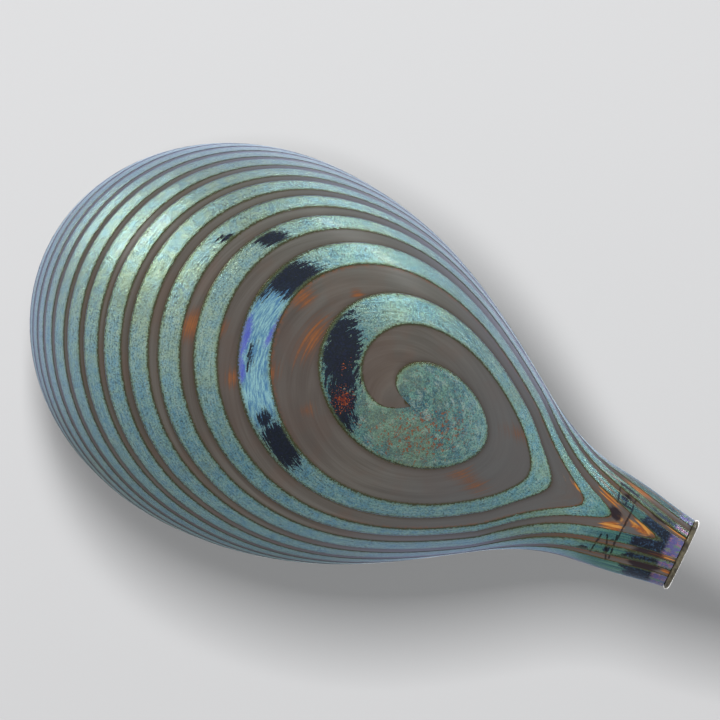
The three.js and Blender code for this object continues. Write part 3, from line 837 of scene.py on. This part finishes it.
# Tones of the clear lip and the studio
LIP_DARK, LIP_PALE = tone(66, 60, 46), tone(122, 114, 90)
FLOOR_TONE, PAPER_GRAIN = tone(222, 222, 223), tone(190, 190, 192)
BACKDROP_NEAR, BACKDROP_FAR = tone(178, 178, 179), tone(186, 186, 187)
MIRRORED_TONE, SEEN_TONE = tone(221, 221, 223), tone(200, 200, 202)
EVEN_LIGHT = (0.42, 0.42, 0.424, 1.0)


def blob(x, y, centre, reach, turn=0.0):
    """1 at the centre of an oval patch, 0 on its rim, less than 0 outside."""
    c, s = math.cos(math.radians(turn)), math.sin(math.radians(turn))
    dx, dy = x - centre[0], y - centre[1]
    along = (dx * c + dy * s) / reach[0]
    across = (dy * c - dx * s) / reach[1]
    return 1.0 - (along ** 2.0 + across ** 2.0) ** 0.5


def strongest(first, *others):
    for other in others:
        first = first.math("MAXIMUM", other)
    return first


def patches(x, y, table):
    """The strongest of a table of patches, each at its place, reach and turn, and raised by its lift."""
    return strongest(*(blob(x, y, (px, py), (along, across), turn) + lift
                       for px, py, along, across, turn, lift in table))


def underside(z, start=0.0, end=30.0):
    """0 down to one depth under the body's axis, 1 from another on."""
    return (AXIS_Z - z).rise(start, end)


def stroke(x, y, start, end, half):
    """1 along the middle of a straight stroke, 0 at its sides, less than 0 outside."""
    length = math.hypot(end[0] - start[0], end[1] - start[1])
    c, s = (end[0] - start[0]) / length, (end[1] - start[1]) / length
    dx, dy = x - (start[0] + end[0]) / 2, y - (start[1] + end[1]) / 2
    along = (dx * c + dy * s).math("ABSOLUTE") - length / 2
    across = (dy * c - dx * s).math("ABSOLUTE")
    return 1.0 - strongest(along, across) / half


def shaded_sheen(x, y, below):
    """Where painted shade darkens the sheen: on one flank and along the tail's underside."""
    return strongest(y.rise(32.0, 56.0), x.rise(92.0, 120.0) * below * 0.85)


def limb(f, base, sheen, keep, bump, plain):
    """The plain glass with the blue oily sheen that its grazing sides show, painted as a matt colour mixed in
    by facing.
    """
    facing = f.node("ShaderNodeLayerWeight", None, {"Blend": 0.5, "Normal": bump}, output="Facing")
    share = facing.rise(0.36, 0.88) * 0.97
    tinted = f.blend(keep, sheen, base)
    skin = f.shader(Base_Color=tinted, Roughness=0.55, Specular_IOR_Level=0.05, Normal=bump)
    rim = f.shader(Base_Color=sheen, Roughness=0.55, Specular_IOR_Level=0.05)
    skin = f.node("ShaderNodeMixShader", None, [facing.rise(0.74, 0.96) * 0.75, skin, rim])
    return f.finish(f.node("ShaderNodeMixShader", None, [share, plain, skin]))


# Tables of patches in millimetres: x, y, reach along, reach across, turn, lift
WARM_GLOWS = [
    (-33.2, 2.4, 5.6, 8.0, 28.0, 0.1), (-24.4, -0.5, 3.4, 6.0, 20.0, -0.1),
    (-13.7, 11.0, 4.0, 5.0, 0.0, -0.2), (-5.0, -20.5, 5.0, 6.0, 40.0, -0.05),
    (2.6, -11.0, 4.4, 12.0, 6.0, 0.0), (9.4, -28.7, 3.4, 2.6, 0.0, -0.05),
    (-3.5, 5.0, 5.5, 9.0, 0.0, -0.3), (10.5, 10.5, 5.0, 5.0, 0.0, -0.3),
    (66.0, 8.0, 14.0, 7.0, 0.0, -0.35), (74.0, -12.0, 12.0, 6.0, 0.0, -0.35),
]
TAIL_LIGHTS = [
    (112.0, 1.5, 4.6, 1.7, -9.0, 0.2), (106.5, 9.6, 2.6, 1.0, -10.0, 0.1),
    (120.0, -1.8, 8.5, 2.8, -2.0, -0.15), (125.0, -3.2, 3.0, 1.4, 8.0, 0.1),
    (131.5, -6.0, 5.0, 1.3, 10.0, 0.1), (129.6, 3.0, 5.6, 1.2, -9.0, 0.0),
    (133.0, 6.8, 2.6, 1.0, 0.0, 0.0), (107.0, -6.4, 6.0, 1.3, 18.0, 0.0),
    (116.5, -12.3, 8.0, 1.1, 7.0, 0.0), (99.0, -4.6, 7.0, 1.2, 10.0, -0.1),
]
TAIL_DARK_REFLECTIONS = [
    (110.6, -2.6, 3.0, 1.7, 20.0, 0.15), (115.0, 3.8, 3.6, 1.2, -8.0, 0.0),
    (112.0, -8.4, 3.6, 2.4, 0.0, -0.15), (125.6, 5.6, 5.0, 6.4, 0.0, 0.3),
    (124.5, -7.2, 5.0, 1.2, 8.0, 0.0),
]
BLUE_REFLECTIONS = [
    (-13.0, -3.5, 8.5, 17.0, -6.0, 0.25), (-4.0, 13.0, 8.0, 11.0, -30.0, 0.0),
    (-11.0, -18.0, 6.0, 7.0, 0.0, 0.0),
]
VIOLET_REFLECTIONS = [
    (-16.6, -1.0, 2.6, 9.0, -8.0, 0.1), (-13.5, 7.5, 2.4, 6.0, -32.0, 0.0),
    (-8.4, -9.0, 1.6, 9.0, 8.0, 0.0),
]
DARK_REFLECTIONS = [
    (-10.0, -24.5, 9.0, 5.2, -22.0, 0.5), (-17.2, -18.0, 3.6, 8.0, 14.0, -0.1),
    (12.8, -10.0, 6.0, 14.0, -26.0, 0.4), (20.5, 4.5, 4.6, 8.0, -32.0, 0.25),
    (8.8, 23.5, 7.6, 3.8, 30.0, 0.45), (0.6, 18.5, 4.0, 5.0, -28.0, -0.1),
    (-22.0, -32.6, 5.6, 2.4, -34.0, 0.3), (-34.0, -27.2, 5.4, 1.8, -38.0, -0.05),
    (-12.0, 2.0, 3.0, 12.0, -14.0, -0.4), (3.5, -20.5, 3.2, 3.2, 0.0, -0.1),
]
EMBERS = [(19.4, 2.4, 5.4, 6.4, -30.0, 0.1), (15.5, -7.0, 3.6, 7.0, 0.0, -0.3)]
MOUTH_REFLECTIONS = [
    (125.6, 2.4, 5.8, 10.4, 0.0, 0.6), (126.6, -4.6, 4.0, 3.4, 0.0, 0.3),
    (121.0, 9.4, 4.4, 2.2, 0.0, 0.3), (105.6, 12.0, 3.4, 1.2, -30.0, 0.1),
    (112.0, -8.4, 2.6, 1.8, 0.0, -0.1), (113.4, 7.6, 1.4, 4.0, 12.0, 0.0),
]


# Corners of a reflected outline on the tail, and straight lines beside it
OUTLINE_CORNERS = [(108.6, -11.8), (114.9, -10.6), (115.0, -6.0), (110.0, -6.3), (108.6, -11.8)]
OUTLINE_BARS = [
    ((111.9, -11.4), (112.6, -6.2)), ((109.8, 5.2), (109.0, 11.2)), ((111.6, 4.6), (114.4, 11.6)),
    ((114.4, 3.4), (115.2, 10.8)), ((115.2, -6.0), (114.9, 4.4)),
]
LINE_HALF = 0.42


def window_lines(x, y, unrest):
    """Thin dark reflected outlines on the tail, bent by a noise."""
    bent_x, bent_y = x + (unrest - 0.5) * 1.0, y + (unrest - 0.5) * 0.8
    places = [*zip(OUTLINE_CORNERS, OUTLINE_CORNERS[1:]), *OUTLINE_BARS]
    lines = [stroke(bent_x, bent_y, start, end, LINE_HALF) for start, end in places]
    return strongest(*lines).rise(0.0, 0.6)


def amber_gather():
    """Bare amber-brown glass, combed round the winding."""
    f = Finish(bpy.data.materials.new("amber_gather"))
    spot = f.place()
    x, y, z = f.parts(spot)
    strip = f.attribute("strip", "Vector")
    inner, outer, turn = f.parts(f.attribute("band", "Vector"))
    margin = inner.math("MINIMUM", outer)
    under = underside(z)
    streaks = f.noise(f.stretched(strip, (1.1, 1.1, 22.0)), 1.0, 4.0, 0.62)
    threads = f.noise(f.stretched(strip, (1.6, 1.6, 80.0)), 1.0, 2.0, 0.5)
    broad = f.noise(f.stretched(strip, (1.2, 1.2, 5.0)), 1.0, 2.0, 0.5)
    cloudy = f.noise(spot, 0.06, 3.0, 0.55)
    bloom = f.noise(spot, 0.8, 4.0, 0.68)
    seeds = f.noise(spot, 2.2, 2.0, 0.6)
    base = f.blend(broad.rise(0.32, 0.68), GATHER_GREY, GATHER_PALE)
    base = f.blend(streaks.rise(0.42, 0.7) * 0.35, base, STREAK_BROWN)
    base = f.blend(threads.rise(0.5, 0.68) * 0.22, base, THREAD_PALE)
    base = f.blend(cloudy.rise(0.46, 0.62) * 0.25, base, CLOUD_ROSE)
    # Painted light: the bare glass paler and greyer on the side towards the windows
    high = ((y + 16.0) / -34.0).rise(0.0, 1.0)
    base = f.blend(high * 0.55, base, LIT_SIDE_SILVER)
    middle = blob(x, y, (0.0, 6.0), (44.0, 38.0)).rise(0.0, 0.7)
    base = f.blend(middle * 0.5, base, MIDDLE_BROWN)
    base = f.blend(x.rise(30.0, 70.0) * 0.7, base, BACK_GREY)

    # Painted shade where the gather dips beside the trail
    base = f.blend((1.0 - inner.rise(0.0, 2.6)) * 0.45, base, INNER_CREASE_SHADE)
    base = f.blend((1.0 - outer.rise(0.0, 1.5)) * 0.35, base, OUTER_CREASE_SHADE)
    wavy = margin + (seeds - 0.5) * 1.6
    base = f.blend((1.0 - wavy.rise(0.15, 0.8)) * 0.85, base, OLIVE_SEAM)

    # Painted light: soft warm glows where light comes through the glass
    glow = patches(x, y, WARM_GLOWS)
    warm = (glow + (streaks - 0.5) * 1.6 + (threads - 0.5) * 0.8).rise(0.0, 0.9) * under
    base = f.blend(warm * 0.75, base, WARM_GLOW)
    hot = (glow + (streaks - 0.5) * 2.4 + (threads - 0.5) * 1.6 + (bloom - 0.5) * 0.8).rise(0.4, 1.3) * under
    base = f.blend(hot * 0.75, base, HOT_GLOW)
    # Painted glow along the outer edge of the bare glass in the second turn
    orange_marks = (1.0 - outer.rise(0.2, 2.0)) * (turn.rise(1.3, 1.5) - turn.rise(2.1, 2.3)) * bloom.rise(0.4, 0.6)
    base = f.blend(orange_marks * 0.5 * under, base, SEAM_GLOW)

    # Drawn out along the tail into long bright and dark streaks, with painted light glowing through the glass
    # and painted dark reflections
    far = x.rise(84.0, 108.0)
    below = underside(z, -1.0, 3.0)
    drawn = f.noise(f.stretched(strip, (4.0, 4.0, 5.0)), 1.0, 4.0, 0.66)
    hairs = f.noise(f.stretched(strip, (6.0, 6.0, 11.0)), 1.0, 3.0, 0.6)
    base = f.blend(far * drawn.rise(0.36, 0.62) * 0.5, base, TAIL_BROWN)
    base = f.blend(far * (1.0 - wavy.rise(0.2, 1.1)) * 0.4, base, TAIL_RUST)
    # Painted light: bright amber where light comes through the drawn tail
    lit = patches(x, y, TAIL_LIGHTS)
    amber = (lit + (drawn - 0.5) * 1.6 + (hairs - 0.5) * 2.2).rise(0.1, 0.7) * below
    base = f.blend(amber * 0.9, base, f.blend(hairs.rise(0.46, 0.64), DEEP_AMBER, BRIGHT_AMBER))
    # Painted dark reflections on the tail's glass
    dark_reflection = patches(x, y, TAIL_DARK_REFLECTIONS)
    deep = (dark_reflection + (drawn - 0.5) * 1.4 + (bloom - 0.5) * 0.6).rise(0.1, 0.5) * below
    base = f.blend(deep * 0.88, base, DARK_REFLECTION_TONE)
    base = f.blend(window_lines(x, y, bloom) * below * 0.8, base, DARK_LINE)

    bump = f.bump(streaks + bloom * 0.15, 0.12, 0.0003)
    plain = f.shader(Base_Color=base, Roughness=0.28, IOR=1.5, Specular_IOR_Level=0.14, Normal=bump)
    # Painted shade darkens the sheen on one flank and under the tail
    sheen_shade = shaded_sheen(x, y, below)
    sheen = f.blend(sheen_shade, LAVENDER, SHADED_LAVENDER)
    return limb(f, base, sheen, 0.55, bump, plain)


def lustre():
    """Mottled teal lustre of the trail, with painted dark reflections, glints and sheen, and a jagged olive
    edge.
    """
    f = Finish(bpy.data.materials.new("lustre"))
    spot = f.place()
    x, y, z = f.parts(spot)
    strip = f.attribute("strip", "Vector")
    rim = f.attribute("rim", "Fac")
    under = underside(z)
    mottle = f.noise(spot, 0.3, 5.0, 0.7)
    flecks = f.noise(spot, 1.5, 4.0, 0.75)
    grain = f.noise(spot, 3.2, 2.0, 0.7)
    combed = f.noise(f.stretched(strip, (9.0, 9.0, 30.0)), 1.0, 5.0, 0.7)
    lines = f.noise(f.stretched(strip, (5.0, 5.0, 70.0)), 1.0, 3.0, 0.6)
    broad = f.noise(spot, 0.05, 2.0, 0.5)
    shifted = f.node("ShaderNodeVectorMath", {"operation": "ADD"}, [spot, (40.0, 15.0, 8.0)])
    orange_marks = f.noise(shifted, 1.1, 4.0, 0.66)

    # Silvery on the breast, green at the eye, bluer along the nape and tail; the eye's darker green is partly
    # painted dark reflection
    breast = (-x).rise(-10.0, 40.0)
    nape = x.rise(46.0, 84.0)
    eye = blob(x, y, (33.0, 0.0), (36.0, 30.0)).rise(0.0, 0.5) * under
    mottled = mottle.rise(0.36, 0.64)
    silver = f.blend(mottled, SILVER_BLUE, SILVER_GREEN)
    base = f.blend(mottled, TEAL_BLUE, TEAL_GREEN)
    base = f.blend(breast * 0.8, base, silver)
    base = f.blend(nape * 0.7, base, f.blend(mottled, NAPE_BLUE, NAPE_GREEN))
    base = f.blend(eye * 0.9, base, f.blend(mottle.rise(0.42, 0.58), EYE_DEEP, EYE_GREEN))
    pits = f.noise(spot, 0.9, 3.0, 0.7)
    base = f.blend(pits.rise(0.55, 0.65) * (eye * 0.55 + 0.2), base, PIT_DARK)
    low = (y / 30.0).rise(0.1, 1.1) * under
    base = f.blend(low * 0.75, base, f.blend(mottle.rise(0.4, 0.6), LOW_BLUE, LOW_PALE))
    base = f.blend(combed.rise(0.5, 0.66) * 0.55, base, COMBED_PALE)
    base = f.blend(combed.rise(0.48, 0.34) * 0.6, base, COMBED_DEEP)
    base = f.blend(flecks.rise(0.53, 0.62) * 0.8, base, FLECK_DEEP)
    base = f.blend(flecks.rise(0.46, 0.34) * 0.45, base, FLECK_PALE)
    base = f.blend(grain.rise(0.54, 0.64) * 0.75, base, GRAIN_DEEP)
    base = f.blend(grain.rise(0.45, 0.35) * 0.45, base, GRAIN_GOLD)
    base = f.blend(broad.rise(0.52, 0.68) * 0.3, base, BROAD_OLIVE)
    strewn = blob(x, y, (47.0, 1.0), (20.0, 9.0), -32.0).rise(-0.3, 0.6)
    speck = (orange_marks + strewn * 0.09).rise(0.62, 0.68) * (eye * 0.9 + 0.1)
    base = f.blend(speck * 0.85, base, SPECK_RUST)

    # Painted blue and violet reflections beside the dark reflections
    blue = patches(x, y, BLUE_REFLECTIONS)
    azure = (blue + (mottle - 0.5) * 0.8).rise(0.0, 0.5) * under
    sky = f.blend(combed.rise(0.4, 0.6), SKY_DEEP, SKY_PALE)
    base = f.blend(azure * 0.85, base, sky)
    violet = patches(x, y, VIOLET_REFLECTIONS)
    purple = (violet + (flecks - 0.5) * 1.2).rise(0.0, 0.5) * under
    base = f.blend(purple * 0.8, base, VIOLET)

    # Painted dark jagged reflections on the belly
    ragged = (combed - 0.5) * 2.4 + (flecks - 0.5) * 0.9 + (lines - 0.5) * 1.2
    dark = patches(x, y, DARK_REFLECTIONS)
    navy = (dark + ragged).rise(0.3, 0.42) * under
    base = f.blend(navy * 0.97, base, f.blend(flecks.rise(0.45, 0.65), NAVY_DEEP, NAVY_PALE))
    streaky = (lines.rise(0.6, 0.66) * combed.rise(0.42, 0.3)) * blue.rise(-0.6, 0.0) * under
    base = f.blend(streaky * 0.9, base, NAVY_STREAK)
    # Painted orange glints in the dark reflections
    ember = patches(x, y, EMBERS)
    sparks = f.noise(shifted, 2.0, 3.0, 0.62)
    red = (ember + (orange_marks - 0.5) * 1.6 + (sparks - 0.5) * 2.6).rise(0.74, 0.92) * under
    base = f.blend(red * 0.9, base, f.blend(sparks.rise(0.56, 0.7), EMBER_DEEP, EMBER_BRIGHT))

    # The drawn tail: green and blue glass, painted navy reflections, lilac at the mouth
    drawn = f.noise(f.stretched(strip, (4.0, 4.0, 5.0)), 1.0, 4.0, 0.66)
    patch = f.noise(f.stretched(spot, (0.7, 1.0, 1.0)), 1.0, 5.0, 0.74)
    far = x.rise(99.0, 113.0)
    below = underside(z, -1.0, 3.0)
    green = f.blend(drawn.rise(0.38, 0.62), DRAWN_BLUE, DRAWN_GREEN)
    base = f.blend(far * 0.85, base, green)
    base = f.blend(far * drawn.rise(0.42, 0.32) * 0.7, base, DRAWN_DARK)
    base = f.blend(far * drawn.rise(0.6, 0.7) * 0.5, base, DRAWN_PALE)
    hairs = f.noise(f.stretched(strip, (5.0, 5.0, 11.0)), 1.0, 3.0, 0.6)
    gilt = x.rise(92.0, 112.0) * ((y + 3.0) / -5.0).rise(0.0, 1.0) * hairs.rise(0.52, 0.6) * below
    base = f.blend(gilt * 0.8, base, GILT)
    # Painted navy reflections about the mouth
    mouth = patches(x, y, MOUTH_REFLECTIONS)
    mouth_reflection = (mouth + (patch - 0.5) * 1.7 + (drawn - 0.5) * 0.8).rise(0.3, 0.42) * below
    base = f.blend(mouth_reflection * 0.96, base, f.blend(flecks.rise(0.5, 0.66), MOUTH_NAVY, MOUTH_BLUE))
    base = f.blend(window_lines(x, y, patch) * below * 0.9, base, BLACK_LINE)
    upper = x.rise(96.0, 116.0) * ((y + 2.0) / -6.0).rise(0.0, 1.0) * drawn.rise(0.36, 0.56) * below
    base = f.blend(upper * 0.6, base, UPPER_SLATE)
    lilac = (x + (patch - 0.5) * 3.0).rise(128.6, 130.4)
    nacre = f.blend(drawn.rise(0.4, 0.6), NACRE_GREEN, NACRE_PINK)
    pearl = f.blend(patch.rise(0.46, 0.56), LILAC, nacre)
    base = f.blend(lilac * 0.85, base, pearl)

    # Serrated olive edge with a yellower fringe inside it
    serration = f.noise(spot, 1.7, 3.0, 0.8)
    edge = rim + (serration - 0.5) * 3.0
    base = f.blend((1.0 - edge.rise(0.6, 1.6)) * 0.45, base, GREEN_FRINGE)
    base = f.blend((1.0 - edge.rise(0.48, 0.68)) * 0.92, base, OLIVE_EDGE)

    height = mottle * 0.4 + combed * 1.1 + flecks * 0.8 + grain * 0.3
    bump = f.bump(height, 0.42, 0.0004)
    rough = 0.11 + mottle * 0.15
    plain = f.shader(Base_Color=base, Metallic=0.8, Roughness=rough, Coat_Weight=0.25, Coat_Roughness=0.12,
                     Normal=bump)
    # Painted shade darkens the sheen on one flank and under the tail
    sheen_shade = shaded_sheen(x, y, below)
    sheen = f.blend(sheen_shade, BLUE_SHEEN, SHADED_SHEEN)
    return limb(f, base, sheen, 0.5, bump, plain)


def head_glass():
    """Amber glass of the head and beak, with the same oily bloom."""
    f = Finish(bpy.data.materials.new("head_glass"))
    spot = f.place()
    swirl = f.noise(f.stretched(spot, (0.1, 0.16, 0.5)), 1.0, 4.0, 0.6, 0.6)
    bloom = f.noise(spot, 0.6, 3.0, 0.6)
    base = f.blend(swirl.rise(0.36, 0.64), HEAD_BROWN, HEAD_PALE)
    base = f.blend(bloom.rise(0.55, 0.7) * 0.35, base, HEAD_RUST)
    bump = f.bump(swirl + bloom * 0.2, 0.12, 0.0003)
    plain = f.shader(Base_Color=base, Roughness=0.16, IOR=1.5, Specular_IOR_Level=0.5, Normal=bump)
    return limb(f, base, HEAD_SHEEN, 0.5, bump, plain)


def clear_glass():
    """Clear glass of the lip, darkened by the tail behind it."""
    f = Finish(bpy.data.materials.new("clear_glass"))
    spot = f.place()
    waves = f.noise(spot, 0.5, 3.0, 0.6)
    base = f.blend(waves.rise(0.35, 0.65), LIP_DARK, LIP_PALE)
    bump = f.bump(waves, 0.2, 0.0004)
    return f.finish(f.shader(Base_Color=base, Roughness=0.14, IOR=1.5, Specular_IOR_Level=0.35,
                             Coat_Weight=0.15, Coat_Roughness=0.06, Normal=bump))


def paper(name, near, far, reach, glow):
    """Pale studio surface that shows only its front, with a faint glow of its own."""
    f = Finish(bpy.data.materials.new(name))
    back = f.node("ShaderNodeNewGeometry", output="Backfacing")
    spot = f.place()
    y = f.parts(spot)[1]
    # Painted shade: the backdrop a little darker towards one end
    shade = f.blend((y / reach).rise(-1.0, 1.0), near, far)
    shade = f.blend(f.noise(spot, 0.02, 2.0) * 0.06, shade, PAPER_GRAIN)
    front = f.node("ShaderNodeBsdfDiffuse", None, {"Color": shade})
    lift = f.node("ShaderNodeEmission", None, {"Color": (glow, glow, glow, 1.0)})
    front = f.node("ShaderNodeAddShader", None, [front, lift])
    clear = f.node("ShaderNodeBsdfTransparent")
    return f.finish(f.node("ShaderNodeMixShader", None, [back, front, clear]))


# The studio

# The camera stands under the bird and looks straight up, turned about its own line of sight
VIEW_DISTANCE = 6000.0
TILT = math.radians(25.84)
FRAME_CENTRE = (18.9, -10.9)
HALF_FRAME = 111.85
FRAME_RIGHT = Vector((math.cos(TILT), -math.sin(TILT), 0))
FRAME_DOWN = Vector((math.sin(TILT), math.cos(TILT), 0))

# How much darker the glass mirrors the room towards the bottom of the frame
LOW_DIMMING, DIMMING_END = 0.46, 0.8

# Sheets of paper: sides in metres, glow, and the height of the one behind the bird
FLOOR_SIDE, FLOOR_GLOW = 12.0, 0.26
BACKDROP_SIDE, BACKDROP_GLOW = 0.26, 0.068
BACKDROP_Z = 212.0
LAMP_AIM = (0.0, 0.0, 60.0)


def only_seen(piece):
    """Keeps a sheet out of the bird's light, so that only the camera sees it."""
    piece.visible_diffuse = False
    piece.visible_glossy = False
    piece.visible_transmission = False
    piece.visible_shadow = False


def softbox(name, direction, distance, size, power, across=None):
    """A lamp at some metres in a direction from the bird, its long side lying across if that is given."""
    data = bpy.data.lights.new(name, "AREA")
    data.shape = "RECTANGLE"
    data.size, data.size_y = size
    data.energy = power
    lamp = bpy.data.objects.new(name, data)
    bpy.context.scene.collection.objects.link(lamp)
    way = Vector(direction).normalized()
    lamp.location = Vector(LAMP_AIM) * MM + way * distance
    lamp.rotation_euler = way.to_track_quat("Z", "Y").to_euler()
    if across is not None:
        along = way.cross(across).normalized()
        lamp.rotation_euler = Matrix((along.cross(way), along, way)).transposed().to_euler()
    lamp.visible_camera = False
    return lamp


def shines_on(lamp, things):
    """Lets a lamp light these things alone."""
    lit = bpy.data.collections.new(lamp.name + "_lit")
    for thing in things:
        lit.objects.link(thing)
    lamp.light_linking.receiver_collection = lit


def sheets():
    """The pale floor, and the backdrop over the bird that takes its shadow."""
    deselect()
    bpy.ops.mesh.primitive_plane_add(size=FLOOR_SIDE, location=(0, 0, 0))
    floor = bpy.context.active_object
    floor.name = "studio_floor"
    floor.data.materials.append(paper("floor_paper", FLOOR_TONE, FLOOR_TONE, 6000.0, FLOOR_GLOW))
    deselect()
    centre = (FRAME_CENTRE[0] * MM, FRAME_CENTRE[1] * MM, BACKDROP_Z * MM)
    bpy.ops.mesh.primitive_plane_add(size=BACKDROP_SIDE, location=centre, rotation=(math.pi, 0, -TILT))
    backdrop = bpy.context.active_object
    backdrop.name = "backdrop"
    backdrop_paper = paper("backdrop_paper", BACKDROP_NEAR, BACKDROP_FAR, 150.0, BACKDROP_GLOW)
    backdrop.data.materials.append(backdrop_paper)
    for sheet in (floor, backdrop):
        only_seen(sheet)
    return backdrop


def set_lights(backdrop, glass):
    """Windows on the breast and one side, soft light above and below, and a lamp that casts the shadow."""
    breast = softbox("breast_window", (-0.9, -0.42, -0.17), 1.1, (0.54, 0.19), 4.2)
    side = softbox("side_window", (0.2, -0.95, 0.03), 1.1, (0.56, 0.12), 2.3)
    shines_on(breast, glass)
    shines_on(side, glass)
    softbox("overhead", (0.1, -0.25, 1.0), 1.3, (1.1, 1.1), 8.0)
    under = softbox("under_fill", (0.1, 0.2, -1.0), 1.2, (0.9, 0.9), 5.0)
    under.visible_glossy = False
    shines_on(under, glass)
    shade = softbox("shade_light", (-0.108, -0.076, -1.0), 1.2, (0.08, 0.22), 17.6, across=FRAME_RIGHT)
    shade.visible_glossy = False
    shines_on(shade, [backdrop])


def set_air():
    """Even light from all round, a background for the glass to mirror, and one for the camera."""
    world = bpy.data.worlds.new("studio_air")
    bpy.context.scene.world = world
    f = Finish(world)
    way = f.node("ShaderNodeTexCoord", output="Generated")
    low_side = f.node("ShaderNodeVectorMath", {"operation": "DOT_PRODUCT"}, [way, FRAME_DOWN], output="Value")
    kept = 1.0 - low_side.rise(0.0, DIMMING_END) * LOW_DIMMING
    mirrored = f.node("ShaderNodeBackground", None, [MIRRORED_TONE, kept])
    seen = f.node("ShaderNodeBackground", None, [SEEN_TONE, 1.0])
    even = f.node("ShaderNodeBackground", None, [EVEN_LIGHT, 1.0])
    camera_ray, glossy_ray, clear_ray = (
        f.node("ShaderNodeLightPath", output=ray)
        for ray in ("Is Camera Ray", "Is Glossy Ray", "Is Transmission Ray")
    )
    unseen = f.node("ShaderNodeMixShader", None, [strongest(glossy_ray, clear_ray), even, mirrored])
    background = f.node("ShaderNodeMixShader", None, [camera_ray, unseen, seen])
    f.node("ShaderNodeOutputWorld", None, [background])


def set_camera():
    """Straight up at the belly, with the tail towards the lower right."""
    data = bpy.data.cameras.new("camera")
    camera = bpy.data.objects.new("camera", data)
    bpy.context.scene.collection.objects.link(camera)
    data.sensor_fit = "HORIZONTAL"
    data.angle = 2 * math.atan(HALF_FRAME / VIEW_DISTANCE)
    data.clip_start, data.clip_end = 0.1, 40.0
    back = Vector((0, 0, -1))
    stand = Matrix((FRAME_RIGHT, -FRAME_DOWN, back)).transposed().to_4x4()
    stand.translation = Vector((*FRAME_CENTRE, AXIS_Z - VIEW_DISTANCE)) * MM
    camera.matrix_world = stand
    bpy.context.scene.camera = camera


# Assembly

def fit(piece, material, node):
    """Gives a piece its finish and its body, and hides the part of the solids that it stands for."""
    piece.data.materials.clear()
    piece.data.materials.append(material)
    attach(piece, "root")
    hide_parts(node)


backdrop = sheets()
amber, lustre_glass, head_amber, clear = amber_gather(), lustre(), head_glass(), clear_glass()

body = blown_body()
fit(body, amber, "body_bubble")

winding = trail()
face_outwards(winding)
cut_at_mouth(winding)
lengths = split_lengths(winding)
for length in lengths:
    smooth(length, 50)
far_length, eye_length = lengths
far_length.name, eye_length.name = "trail_far", "trail_eye"
fit(far_length, lustre_glass, "trail_length_1")
fit(eye_length, lustre_glass, "trail_length_2")

mouth_lip, small_head, small_beak = lip_wrap(), head(), beak()
fit(mouth_lip, clear, "tail_lip_wrap")
fit(small_head, head_amber, "head")
fit(small_beak, head_amber, "beak")

set_lights(backdrop, [body, far_length, eye_length, mouth_lip, small_head, small_beak])
set_air()
set_camera()
bpy.context.scene.view_settings.view_transform = "Standard"
